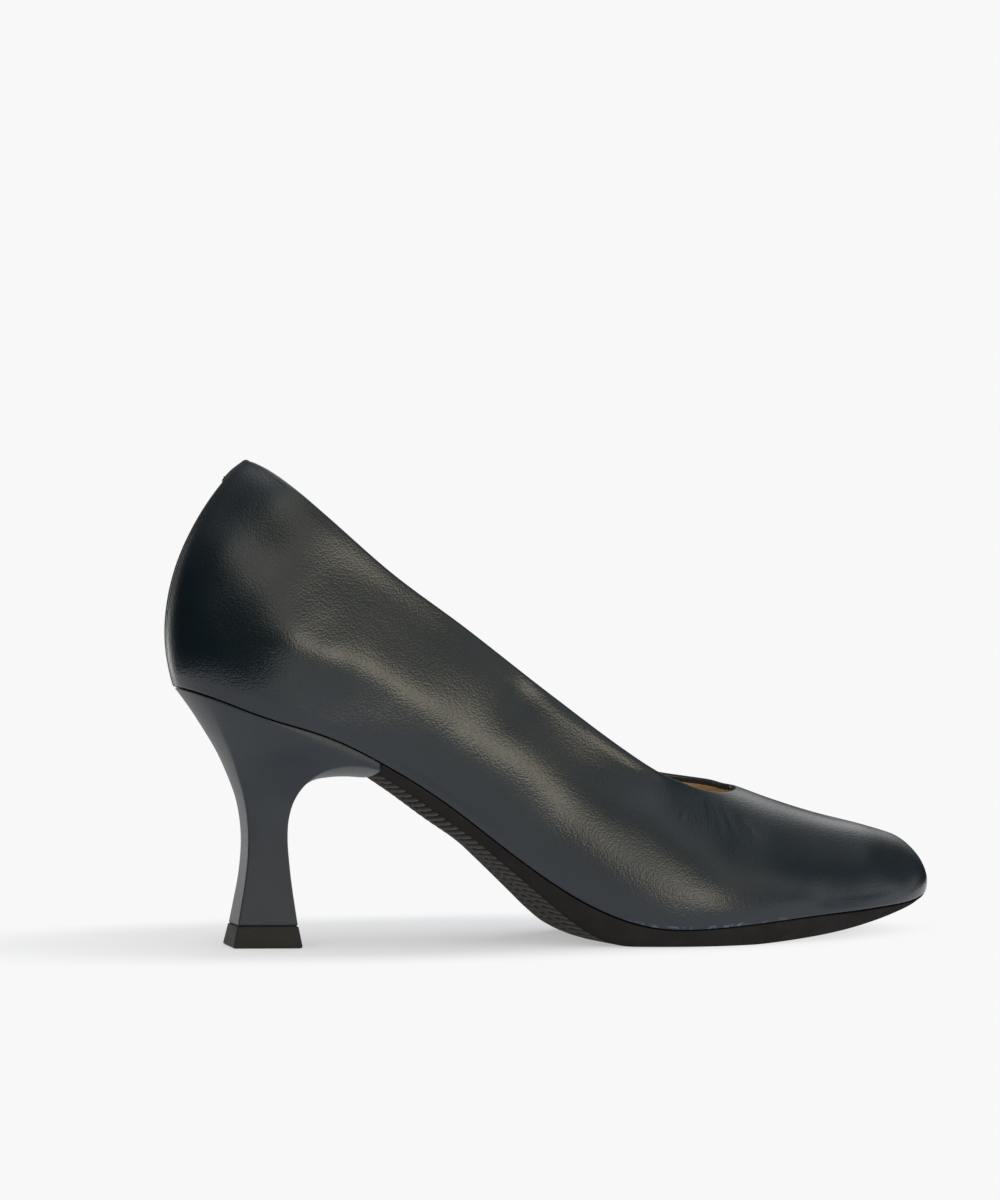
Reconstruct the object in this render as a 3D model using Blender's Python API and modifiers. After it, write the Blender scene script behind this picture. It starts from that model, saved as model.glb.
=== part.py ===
"""High heel court shoe for the right foot: hollow upper, back tab, insole, outsole, heel and top lift.

Tables are in millimetres, measured from the back of the heel (x towards the toe), from the shoe's
centre plane (lateral and medial halves) and from the floor (z). The meshes are written in metres with
the middle of the shoe's box on the origin.
"""

import bmesh
import bpy
import numpy as np

MM = 0.001
MID_X = 114.7
MID_Y = -1.23

WALL = 1.8
GAP = 0.3
INSOLE_THICK = 2.6
INSOLE_CLEAR = 0.9
TAB_THICK = 0.9
LIFT_HEIGHT = 6.0
TOE_Y = 1.0

RIB_STEPS = 3
THROAT_STEPS = 5
THROAT_SPAN = 0.85
RISE_STEPS = 11
ACROSS_STEPS = 6

# One row for each rib of the last, from the back seam to the toe. A rib starts on the feather edge, where
# upper meets sole, and ends on the ridge over the middle of the foot. Lean is the outward tilt of the wall
# at the feather in degrees. Foot pull and ridge pull say how long the rib keeps its two end directions.
RIBS = np.array(
    [
        # feather_x, lateral, medial, feather_z, arch, ridge_x, ridge_z, lean, foot_pull, ridge_pull
        (2.4, 0.0, 0.0, 72.5, 0.0, 55.0, 154.5, 18.5, 0.52, 0.40),
        (6.6, 11.6, 11.6, 71.0, 0.0, 56.0, 154.5, 17.5, 0.50, 0.45),
        (14.0, 18.4, 18.0, 68.0, 0.0, 58.5, 154.5, 15.5, 0.47, 0.58),
        (25.0, 23.0, 22.4, 63.7, 0.0, 62.5, 154.0, 14.0, 0.43, 0.76),
        (40.0, 24.6, 23.6, 57.8, 0.6, 68.0, 151.0, 13.5, 0.40, 0.93),
        (56.0, 23.6, 22.0, 51.5, 1.8, 77.0, 141.0, 15.0, 0.39, 1.06),
        (74.0, 22.2, 19.4, 40.7, 2.0, 90.0, 121.5, 17.0, 0.40, 1.12),
        (93.0, 23.6, 18.6, 26.3, 1.6, 105.0, 97.0, 18.0, 0.42, 1.04),
        (112.0, 29.2, 22.6, 13.0, 1.2, 122.0, 75.5, 15.0, 0.42, 0.90),
        (130.0, 35.6, 29.2, 5.9, 0.4, 138.0, 60.0, 12.0, 0.42, 0.78),
        (147.0, 38.8, 34.6, 5.3, 0.0, 154.0, 49.8, 11.0, 0.42, 0.68),
        (163.0, 37.0, 36.4, 6.3, 0.0, 168.0, 43.3, 11.0, 0.42, 0.62),
        (179.0, 33.0, 34.2, 7.4, 0.0, 181.5, 38.8, 11.0, 0.42, 0.60),
        (194.0, 28.4, 30.4, 8.1, 0.0, 194.5, 34.9, 12.0, 0.42, 0.58),
        (207.5, 22.6, 24.8, 8.8, 0.0, 205.5, 32.1, 13.0, 0.42, 0.57),
        (218.5, 15.8, 17.4, 9.6, 0.0, 213.5, 30.0, 16.0, 0.42, 0.56),
        (226.2, 8.4, 9.4, 11.1, 0.0, 217.6, 28.8, 18.0, 0.42, 0.55),
        (229.0, 0.0, 0.0, 11.9, 0.0, 218.8, 28.4, 19.0, 0.42, 0.55),
    ]
)
TOE_RIB = len(RIBS) - 1

# The topline seen from the side, from the back seam down to the throat, where it turns up across the vamp.
# The medial side stands a little higher beside the instep.
TOPLINE = np.array(
    [
        # x, lateral_z, medial_z
        (12.0, 138.4, 138.4),
        (19.0, 136.9, 136.9),
        (23.0, 134.6, 134.6),
        (30.6, 127.7, 127.7),
        (40.3, 119.0, 119.2),
        (57.1, 104.7, 105.2),
        (80.4, 88.4, 89.4),
        (104.0, 70.4, 72.0),
        (127.9, 53.2, 55.6),
        (137.0, 48.0, 51.0),
        (143.5, 45.6, 48.7),
        (150.0, 43.5, 46.8),
        (157.0, 42.2, 45.2),
        (162.6, 42.2, 44.1),
        (168.5, 43.2, 43.2),
        (176.0, 47.0, 47.0),
    ]
)

# The underside of the outsole along its length: flat on the floor under the ball, then the toe spring.
# Edge is how far the sole's lower edge stands in from the feather edge. Arch lifts the medial lower edge.
SOLE = np.array(
    [
        # x, floor_z, edge, arch
        (55.0, 48.9, 3.0, 2.8),
        (65.0, 42.8, 3.2, 2.6),
        (75.0, 36.0, 3.4, 2.0),
        (85.0, 29.0, 3.6, 1.4),
        (95.0, 20.6, 3.8, 0.8),
        (105.0, 11.8, 4.0, 0.4),
        (110.0, 7.5, 4.0, 0.2),
        (115.0, 3.8, 4.0, 0.0),
        (119.0, 1.6, 3.8, 0.0),
        (123.0, 0.4, 3.6, 0.0),
        (127.0, 0.0, 3.5, 0.0),
        (162.0, 0.0, 3.2, 0.0),
        (176.0, 0.8, 3.2, 0.0),
        (190.0, 2.2, 3.2, 0.0),
        (203.0, 4.2, 3.2, 0.0),
        (216.0, 6.7, 3.2, 0.0),
        (224.0, 8.2, 3.2, 0.0),
        (231.0, 9.2, 3.2, 0.0),
    ]
)
SOLE_FLAT = (127.0, 162.0)
SOLE_BACK = 55.8

# The heel from its top lift to the seat. Each row is one closed ring: a trapezoid with crisp corners low
# down, turning into the rounded outline of the seat. Crown is how far the lip's front edge hangs in the middle.
HEEL = np.array(
    [
        # back_x, back_z, back_half, front_x, front_z, front_half, round, crown
        (19.5, 6.3, 6.0, 35.6, 6.3, 9.8, 0.00, 0.0),
        (20.6, 12.4, 5.5, 34.8, 12.4, 9.0, 0.00, 0.0),
        (21.6, 18.0, 5.1, 34.1, 18.0, 8.4, 0.00, 0.0),
        (22.3, 24.0, 4.9, 33.5, 24.0, 8.0, 0.01, 0.0),
        (22.5, 30.0, 4.9, 33.1, 30.0, 7.9, 0.03, 0.0),
        (22.0, 36.0, 5.3, 33.3, 35.6, 8.4, 0.07, 0.1),
        (20.8, 41.6, 6.1, 34.6, 40.8, 9.6, 0.15, 0.3),
        (18.6, 47.4, 7.4, 37.0, 45.4, 11.6, 0.29, 0.7),
        (15.6, 53.6, 8.9, 40.8, 48.7, 14.3, 0.48, 1.3),
        (11.6, 60.0, 10.3, 45.6, 50.2, 17.4, 0.69, 2.0),
        (7.4, 66.2, 11.6, 50.6, 50.9, 20.5, 0.87, 2.6),
        (3.1, 71.9, 12.6, 55.4, 51.3, 23.5, 1.00, 3.0),
    ]
)
HEEL_BACK_STEPS = 4
HEEL_SIDE_STEPS = 9
HEEL_FRONT_STEPS = 4

# Rings of the top lift, from the floor up, in the same shape as the foot of the heel.
LIFT = np.array(
    [
        # back_x, back_z, back_half, front_x, front_z, front_half, round, crown
        (18.3, 0.0, 6.6, 36.4, 0.0, 10.6, 0.00, 0.0),
        (18.1, 0.6, 6.8, 36.7, 0.6, 10.9, 0.00, 0.0),
        (19.4, LIFT_HEIGHT, 6.1, 35.7, LIFT_HEIGHT, 9.9, 0.00, 0.0),
    ]
)

# The tab laps over the back seam on the medial side; each row gives its depth below the topline.
TAB = np.array(
    [
        # rib, depth
        (-0.35, 7.0),
        (-0.15, 8.4),
        (0.1, 9.0),
        (0.5, 8.6),
        (1.0, 7.2),
        (1.5, 5.2),
        (1.9, 3.2),
        (2.2, 1.6),
    ]
)
TAB_STEPS = 5

LEATHER_NAVY = (0.012, 0.016, 0.024, 1.0)
LEATHER_TAN = (0.46, 0.31, 0.18, 1.0)
RUBBER_BLACK = (0.016, 0.015, 0.014, 1.0)
COVER_NAVY = (0.018, 0.022, 0.030, 1.0)


def closed_spline(values, at):
    """Smooth closed curve through evenly numbered values, read at fractional row numbers."""
    count = len(values)
    system = 4.0 * np.eye(count) + np.eye(count, k=1) + np.eye(count, k=-1)
    system[0, -1] = 1.0
    system[-1, 0] = 1.0
    bend = np.linalg.solve(system, 6.0 * (np.roll(values, -1, 0) - 2.0 * values + np.roll(values, 1, 0)))
    low = np.floor(at).astype(int)
    part = (at - low)[:, None]
    here = low % count
    after = (low + 1) % count
    flat = (1.0 - part) * values[here] + part * values[after]
    lower = ((1.0 - part) ** 3 - (1.0 - part)) * bend[here]
    upper = (part**3 - part) * bend[after]
    return flat + (lower + upper) / 6.0


def curve(table, at):
    """Smooth curve through a table of x and one value, with slopes taken from its neighbours."""
    x = table[:, 0]
    y = table[:, 1]
    chord = np.diff(y) / np.diff(x)
    slope = np.concatenate([chord[:1], 0.5 * (chord[1:] + chord[:-1]), chord[-1:]])
    at = np.clip(at, x[0], x[-1])
    row = np.clip(np.searchsorted(x, at, side="right") - 1, 0, len(x) - 2)
    width = x[row + 1] - x[row]
    part = (at - x[row]) / width
    rise = part * part * (3.0 - 2.0 * part)
    start = part * (1.0 - part) ** 2
    end = part * part * (part - 1.0)
    return y[row] * (1.0 - rise) + y[row + 1] * rise + width * (start * slope[row] + end * slope[row + 1])


def loop_columns(at):
    """Feather point, ridge point and shape of the ribs at loop numbers: lateral to the toe, medial back."""
    toe = TOE_Y * RIBS[:, 0] / RIBS[-1, 0]
    toe = np.where(np.arange(len(RIBS)) < TOE_RIB - 4, 0.0, toe * (np.arange(len(RIBS)) - TOE_RIB + 4) / 4.0)
    lateral = np.column_stack([RIBS[:, 0], -RIBS[:, 1] + toe, RIBS[:, 3], RIBS[:, 5:]])
    medial = np.column_stack([RIBS[:, 0], RIBS[:, 2] + toe, RIBS[:, 3] + RIBS[:, 4], RIBS[:, 5:]])
    return closed_spline(np.vstack([lateral, medial[-2:0:-1]]), at)


def rib_controls(at):
    """Four control points of each rib: up and out from the feather, level across the ridge."""
    column = loop_columns(at)
    side = np.abs(at - np.round(at / (2 * TOE_RIB)) * 2 * TOE_RIB)
    within = np.clip(side, 0.4, TOE_RIB - 0.4)
    nearby = loop_columns(within + 0.1) - loop_columns(within - 0.1)
    slope = nearby[:, 4] / nearby[:, 3]
    foot = column[:, :3]
    ridge_y = TOE_Y * np.clip((side - TOE_RIB + 4.0) / 4.0, 0.0, 1.0)
    ridge = np.column_stack([column[:, 3], ridge_y, column[:, 4]])
    plan = ridge[:, :2] - foot[:, :2]
    reach = np.linalg.norm(plan, axis=1)
    plan = plan / reach[:, None]
    height = ridge[:, 2] - foot[:, 2]
    lean = np.radians(column[:, 5])
    up = column[:, 6] * height
    rise = np.column_stack([-np.sin(lean)[:, None] * plan, np.cos(lean)])
    level = np.column_stack([plan, slope * plan[:, 0]])
    first = foot + up[:, None] * rise
    second = ridge - (column[:, 7] * reach)[:, None] * level
    return foot, first, second, ridge


def rib_points(controls, share):
    """Points on the ribs at shares of their way from the feather to the ridge."""
    foot, first, second, ridge = controls
    share = share[..., None]
    rest = 1.0 - share
    near = rest**3 * foot[:, None] + 3.0 * rest**2 * share * first[:, None]
    far = 3.0 * rest * share**2 * second[:, None] + share**3 * ridge[:, None]
    return near + far


def topline_z(at, x):
    """Height of the topline at x, on the side of the shoe that each loop number belongs to."""
    medial = np.mod(at, 2 * TOE_RIB) > TOE_RIB
    return np.where(medial, curve(TOPLINE[:, [0, 2]], x), curve(TOPLINE[:, :2], x))


def topline_share(at, controls):
    """Share of each rib at which it meets the topline, or its whole length ahead of the throat."""
    count = len(controls[0])
    low = np.full(count, 0.2)
    high = np.ones(count)
    top = rib_points(controls, high[:, None])[:, 0]
    whole = top[:, 2] < topline_z(at, top[:, 0])
    for _ in range(40):
        middle = 0.5 * (low + high)
        point = rib_points(controls, middle[:, None])[:, 0]
        above = point[:, 2] > topline_z(at, point[:, 0])
        high = np.where(above, middle, high)
        low = np.where(above, low, middle)
    return np.where(whole, 1.0, high)


def rib_numbers():
    """Loop numbers of the ribs, drawing together where the topline crosses the ridge at the throat."""
    search = np.linspace(8.0, 13.0, 2001)
    ridge = loop_columns(search)[:, 3:5]
    closed = (ridge[:, 1] < topline_z(search, ridge[:, 0])) & (ridge[:, 1] < topline_z(-search, ridge[:, 0]))
    throat = search[np.argmax(closed)]
    fine = throat - THROAT_SPAN * (np.arange(THROAT_STEPS + 1) / THROAT_STEPS) ** 2
    half = np.arange(TOE_RIB * RIB_STEPS + 1) / RIB_STEPS
    outside = (half < fine[-1] - 0.1) | (half > throat + 0.1)
    half = np.sort(np.concatenate([half[outside], fine]))
    return np.concatenate([half, 2 * TOE_RIB - half[-2:0:-1]])


def outline(inset):
    """Lateral and medial edge of the bottom, in from the feather: two curves of x and y."""
    at = np.linspace(0.0, 2 * TOE_RIB, 1200, endpoint=False)
    point = loop_columns(at)[:, :2]
    along = np.roll(point, -1, 0) - np.roll(point, 1, 0)
    along = along / np.linalg.norm(along, axis=1)[:, None]
    moved = point + inset * np.column_stack([-along[:, 1], along[:, 0]])
    half = len(at) // 2
    return moved[: half + 1], np.vstack([moved[half:], moved[:1]])[::-1]


def edges(inset, x):
    """Lateral and medial y of the bottom's edge at each x; the inset may vary along x."""
    near, far = outline(0.0)
    shallow = [np.interp(x, side[:, 0], side[:, 1]) for side in (near, far)]
    inset = np.broadcast_to(inset, x.shape)
    level = np.linspace(0.0, 6.0, 25)
    stack = [[np.interp(x, side[:, 0], side[:, 1]) for side in outline(step)] for step in level]
    lateral = np.array([[pair[0][i] for pair in stack] for i in range(len(x))])
    medial = np.array([[pair[1][i] for pair in stack] for i in range(len(x))])
    lateral = np.array([np.interp(inset[i], level, lateral[i]) for i in range(len(x))])
    medial = np.array([np.interp(inset[i], level, medial[i]) for i in range(len(x))])
    return np.maximum(lateral, shallow[0]), np.minimum(medial, shallow[1])


def bottom_z(x, y):
    """Height of the last's bottom: straight across from the lateral to the medial feather edge."""
    at = np.linspace(0.0, TOE_RIB, 600)
    lateral = loop_columns(at)
    medial = loop_columns(2 * TOE_RIB - at)
    low = np.interp(x, lateral[:, 0], lateral[:, 2])
    high = np.interp(x, medial[:, 0], medial[:, 2])
    near = np.interp(x, lateral[:, 0], lateral[:, 1])
    far = np.interp(x, medial[:, 0], medial[:, 1])
    share = np.clip((y - near) / np.maximum(far - near, 1.0), 0.0, 1.0)
    return low + (high - low) * share


def grid_faces(rows, columns, closed=False):
    """Quads of a grid of points numbered row by row; closed joins the last row to the first."""
    row = np.arange(rows if closed else rows - 1)[:, None]
    column = np.arange(columns - 1)[None, :]
    here = row * columns + column
    there = ((row + 1) % rows) * columns + column
    return np.stack([here, there, there + 1, here + 1], -1).reshape(-1, 4).tolist()


def make(collection, name, points, faces, colour, roughness):
    """One named piece: its points in millimetres, its faces turned outwards, its own material."""
    metres = (np.asarray(points).reshape(-1, 3) - (MID_X, MID_Y, 0.0)) * MM
    mesh = bpy.data.meshes.new(name)
    mesh.from_pydata(metres.tolist(), [], faces)
    shape = bmesh.new()
    shape.from_mesh(mesh)
    bmesh.ops.remove_doubles(shape, verts=shape.verts, dist=0.00002)
    bmesh.ops.dissolve_degenerate(shape, edges=shape.edges, dist=0.00001)
    bmesh.ops.recalc_face_normals(shape, faces=shape.faces)
    shape.to_mesh(mesh)
    shape.free()
    material = bpy.data.materials.new(name + "_material")
    material.use_nodes = True
    surface = material.node_tree.nodes["Principled BSDF"]
    surface.inputs["Base Color"].default_value = colour
    surface.inputs["Roughness"].default_value = roughness
    mesh.materials.append(material)
    piece = bpy.data.objects.new(name, mesh)
    collection.objects.link(piece)
    return piece


def thicken(piece, thickness, offset):
    """Give an open surface an even wall: offset -1 builds it inwards, 1 outwards."""
    wall = piece.modifiers.new("wall", "SOLIDIFY")
    wall.thickness = thickness * MM
    wall.offset = offset
    wall.use_even_offset = True
    wall.use_quality_normals = True


def faces_out(piece, centre):
    """Turn an open surface so that its faces look away from a point inside."""
    mesh = piece.data
    middle = np.mean([face.center[:] for face in mesh.polygons], axis=0)
    inside = (np.asarray(centre) - (MID_X, MID_Y, 0.0)) * MM if centre is not None else middle
    votes = 0.0
    for face in mesh.polygons:
        away = np.asarray(face.center[:]) - inside
        votes += face.area * float(np.dot(away / np.linalg.norm(away), face.normal[:]))
    if votes < 0.0:
        mesh.flip_normals()


def build_upper(collection):
    """Hollow upper: all ribs from the feather to the topline, joined along the ridge, with a real wall."""
    at = rib_numbers()
    controls = rib_controls(at)
    share = topline_share(at, controls)[:, None] * np.linspace(0.0, 1.0, RISE_STEPS + 1)[None, :]
    points = rib_points(controls, share)
    faces = grid_faces(points.shape[0], points.shape[1], closed=True)
    piece = make(collection, "upper", points, faces, LEATHER_NAVY, 0.45)
    faces_out(piece, (110.0, 0.0, 45.0))
    thicken(piece, WALL, -1.0)


def build_tab(collection):
    """Tab over the back seam: a strip of the upper's own surface, lifted off it and cut to the tab's depth."""
    at = np.linspace(TAB[0, 0], TAB[-1, 0], 22)
    depth = curve(TAB, at)
    controls = rib_controls(-at)
    top = topline_share(-at, controls)
    fine = rib_points(controls, top[:, None] * np.linspace(0.0, 1.0, 400)[None, :])
    length = np.cumsum(np.linalg.norm(np.diff(fine, axis=1), axis=2)[:, ::-1], axis=1)[:, ::-1]
    low = np.array([np.interp(-depth[i], -length[i], np.linspace(0.0, 1.0, 399)) for i in range(len(at))])
    share = low[:, None] + (1.0 - low)[:, None] * np.linspace(0.0, 1.0, TAB_STEPS + 1)[None, :]
    points = rib_points(controls, top[:, None] * share)
    across = rib_points(rib_controls(-at + 0.01), top[:, None] * share)
    upward = rib_points(controls, top[:, None] * (share + 0.005))
    normal = np.cross(across - points, upward - points)
    normal = normal / np.linalg.norm(normal, axis=2)[..., None]
    outward = np.sign(np.sum(normal * (points - np.array([60.0, 0.0, 110.0])), axis=2))[..., None]
    points = points + GAP * normal * outward
    faces = grid_faces(points.shape[0], points.shape[1])
    piece = make(collection, "back_tab", points, faces, LEATHER_NAVY, 0.45)
    faces_out(piece, (60.0, 0.0, 110.0))
    thicken(piece, TAB_THICK, 1.0)


def stations(start, end, count, round_start, round_end):
    """Places along x, close together at a rounded end."""
    share = np.linspace(0.0, 1.0, count)
    if round_start and round_end:
        share = 0.5 * (1.0 - np.cos(np.pi * share))
    elif round_end:
        share = np.sin(0.5 * np.pi * share)
    return start + (end - start) * share


def build_insole(collection):
    """Insole inside the upper's wall: the bottom's own surface, lifted and given its thickness downwards."""
    inset = WALL + INSOLE_CLEAR
    near, far = outline(inset)
    x = stations(near[0, 0] + 0.05, near[-1, 0] - 0.05, 60, True, True)
    lateral, medial = edges(inset, x)
    share = np.linspace(0.0, 1.0, ACROSS_STEPS + 1)[None, :]
    y = lateral[:, None] + (medial - lateral)[:, None] * share
    deep = np.broadcast_to(x[:, None], y.shape)
    floor = bottom_z(deep, y)
    steep = np.sqrt(1.0 + ((bottom_z(deep + 0.5, y) - bottom_z(deep - 0.5, y))) ** 2)
    points = np.stack([deep, y, floor + (GAP + INSOLE_THICK) * steep], -1)
    piece = make(collection, "insole", points, grid_faces(*y.shape), LEATHER_TAN, 0.6)
    faces_out(piece, (110.0, 0.0, -400.0))
    thicken(piece, INSOLE_THICK, -1.0)


def build_outsole(collection):
    """Outsole from the heel's lip to the toe: top on the feather edge, side leaning in to the underside."""
    near, far = outline(0.2)
    end = near[-1, 0] - 0.05
    plain = stations(SOLE_BACK, end, 58, False, True)
    x = np.sort(np.concatenate([plain, np.array(SOLE_FLAT)]))
    share = np.linspace(0.0, 1.0, ACROSS_STEPS + 1)[None, :]
    lateral, medial = edges(0.2, x)
    top_y = lateral[:, None] + (medial - lateral)[:, None] * share
    top_x = np.broadcast_to(x[:, None], top_y.shape)
    top = np.stack([top_x, top_y, bottom_z(top_x, top_y) - GAP], -1)
    inset = np.interp(x, SOLE[:, 0], SOLE[:, 2])
    inset = np.minimum(inset, 0.2 + 0.5 * (end - x))
    lateral, medial = edges(inset, x)
    low_y = lateral[:, None] + (medial - lateral)[:, None] * share
    floor = curve(SOLE[:, :2], x)[:, None] + curve(SOLE[:, [0, 3]], x)[:, None] * share
    floor[(x >= SOLE_FLAT[0]) & (x <= SOLE_FLAT[1])] = 0.0
    low = np.stack([top_x, low_y, np.maximum(floor, 0.0)], -1)
    ring = np.concatenate([top, low[:, ::-1]], axis=1)
    count = ring.shape[1]
    faces = []
    for row in range(len(x) - 1):
        for column in range(count):
            beside = (column + 1) % count
            faces.append([row * count + column, (row + 1) * count + column,
                          (row + 1) * count + beside, row * count + beside])
    faces.append(list(range(count)))
    faces.append([(len(x) - 1) * count + column for column in range(count)][::-1])
    make(collection, "outsole", ring, faces, RUBBER_BLACK, 0.7)


def ring_points(row):
    """One closed ring of the heel: lateral half from the back to the front, then the medial half back."""
    back_x, back_z, back_half, front_x, front_z, front_half, roundness, crown = row
    back = np.linspace(0.0, 1.0, HEEL_BACK_STEPS + 1)
    side = np.linspace(0.0, 1.0, HEEL_SIDE_STEPS + 1)[1:]
    front = np.linspace(0.0, 1.0, HEEL_FRONT_STEPS + 1)[1:]
    flat_x = np.concatenate([np.full(back.shape, back_x), back_x + (front_x - back_x) * side,
                             np.full(front.shape, front_x)])
    flat_y = np.concatenate([back_half * back, back_half + (front_half - back_half) * side,
                             front_half * (1.0 - front)])
    near, far = outline(0.15)
    seat_start = near[0, 0]
    seat_end = HEEL[-1, 3]
    corner = np.interp(HEEL[-1, 2], -near[:200, 1], near[:200, 0])
    seat_x = np.concatenate([np.interp(HEEL[-1, 2] * back, -near[:200, 1], near[:200, 0]),
                             corner + (seat_end - corner) * side, np.full(front.shape, seat_end)])
    halves = []
    for edge in (near, far):
        width = np.interp(seat_x, edge[:, 0], np.abs(edge[:, 1]))
        width = np.where(np.arange(len(seat_x)) <= HEEL_BACK_STEPS,
                         HEEL[-1, 2] * np.concatenate([back, np.zeros(len(seat_x) - len(back))]), width)
        width[-HEEL_FRONT_STEPS:] = width[-HEEL_FRONT_STEPS - 1] * (1.0 - front)
        seat_share = (seat_x - seat_start) / (seat_end - seat_start)
        round_x = back_x + (front_x - back_x) * seat_share
        round_y = width * front_half / HEEL[-1, 5]
        x = flat_x + (round_x - flat_x) * roundness
        y = flat_y + (round_y - flat_y) * roundness
        z = back_z + (front_z - back_z) * (x - back_x) / (front_x - back_x)
        middle = 1.0 - (y / y[-HEEL_FRONT_STEPS - 1]) ** 2
        z[-HEEL_FRONT_STEPS:] -= crown * np.sqrt(middle[-HEEL_FRONT_STEPS:])
        halves.append(np.column_stack([x, y, z]))
    lateral = halves[0] * (1.0, -1.0, 1.0)
    return np.vstack([lateral, halves[1][-2:0:-1]])


def tower(collection, name, rings, colour, roughness):
    """Rings stacked into a solid, its foot and its top closed."""
    count = rings.shape[1]
    faces = []
    for level in range(len(rings) - 1):
        for point in range(count):
            beside = (point + 1) % count
            faces.append([level * count + point, level * count + beside,
                          (level + 1) * count + beside, (level + 1) * count + point])
    half = count // 2
    for foot, turn in ((0, 1), ((len(rings) - 1) * count, -1)):
        faces.append([foot + 0, foot + 1, foot + count - 1][::turn])
        for point in range(1, half - 1):
            faces.append([foot + point, foot + point + 1, foot + count - point - 1, foot + count - point][::turn])
        faces.append([foot + half - 1, foot + half, foot + half + 1][::turn])
    return make(collection, name, rings, faces, colour, roughness)


def build_heel(collection):
    """Heel from the top lift to the seat, with its lip's front face raised to the seat."""
    rings = [ring_points(row) for row in HEEL]
    seat = rings[-1].copy()
    for ring in rings:
        ceiling = bottom_z(ring[:, 0], ring[:, 1]) - GAP
        ring[:, 2] = np.minimum(ring[:, 2], ceiling - 0.02)
    seat[:, 2] = bottom_z(seat[:, 0], seat[:, 1]) - GAP
    tower(collection, "heel", np.array(rings + [seat]), COVER_NAVY, 0.55)


def build_lift(collection):
    """Top lift: a block on the floor under the heel, with a small bevel round its foot."""
    tower(collection, "top_lift", np.array([ring_points(row) for row in LIFT]), RUBBER_BLACK, 0.6)


def main():
    for old in list(bpy.data.objects):
        bpy.data.objects.remove(old, do_unlink=True)
    shoe = bpy.data.collections.new("high_heel_court_shoe")
    bpy.context.scene.collection.children.link(shoe)
    build_upper(shoe)
    build_tab(shoe)
    build_insole(shoe)
    build_outsole(shoe)
    build_heel(shoe)
    build_lift(shoe)


main()
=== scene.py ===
"""High heel court shoe for the right foot: leather upper and lining, back tab, sock, ribbed rubber sole,
covered heel and top lift, standing on a pale studio floor.

Sizes are in millimetres: x from the back of the heel towards the toe, y from the centre plane (lateral is
negative), z from the floor. Meshes are written in metres about the middle of the shoe.
"""
import math

import bpy
import numpy as np
from mathutils import Matrix


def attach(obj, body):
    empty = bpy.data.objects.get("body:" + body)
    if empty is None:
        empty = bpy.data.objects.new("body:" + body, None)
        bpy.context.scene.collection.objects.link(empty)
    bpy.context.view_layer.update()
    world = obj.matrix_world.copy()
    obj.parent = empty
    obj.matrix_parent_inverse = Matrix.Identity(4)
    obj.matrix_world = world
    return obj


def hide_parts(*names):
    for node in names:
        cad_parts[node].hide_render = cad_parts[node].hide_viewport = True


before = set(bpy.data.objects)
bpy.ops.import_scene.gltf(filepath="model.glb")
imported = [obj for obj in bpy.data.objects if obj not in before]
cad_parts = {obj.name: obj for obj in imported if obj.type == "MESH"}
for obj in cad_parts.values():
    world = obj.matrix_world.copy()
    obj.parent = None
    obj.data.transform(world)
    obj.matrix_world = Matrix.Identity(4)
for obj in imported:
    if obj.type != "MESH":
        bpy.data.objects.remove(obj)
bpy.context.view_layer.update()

MM = 0.001
MIDDLE = np.array([114.7, -1.23, 0.0])
WALL = 1.8
LEATHER = 0.9
FOLD = 0.5 * WALL
GAP = 0.3
TOE_Y = 1.0
FLARE_FADE = 3.5

# Stitch lengths, and the tab: its thickness, how far it is sunk and how far it reaches down inside.
SEAM_STITCH = 2.4
TAB_STITCH = 2.3
TAB_STITCH_LONG = 1.75
TAB_STITCH_INSET = 1.5
TAB_THICK = 0.62
TAB_SUNK = 0.12
TAB_INSIDE = -4.6

# Sock, tread and the points in one ring of the heel.
SOCK_THICK = 2.7
RIB_PITCH = 2.35
GROOVE_DEPTH = 1.8
HEEL_POINTS = 240

# The camera: turn and roll in degrees, place, lens in pixels of the frame; and the white behind the table.
CAMERA_TURN = 17.5
CAMERA_ROLL = 0.25
CAMERA_PLACE = np.array([-182.6, -886.4, 92.5])
PIXELS_PER_RADIAN = 3258.0
FRAME_PIXELS = 1200.0
RAISED_PIXELS = 15.0
SENSOR = 36.0
WHITE = (0.94, 0.94, 0.94, 1.0)

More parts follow.
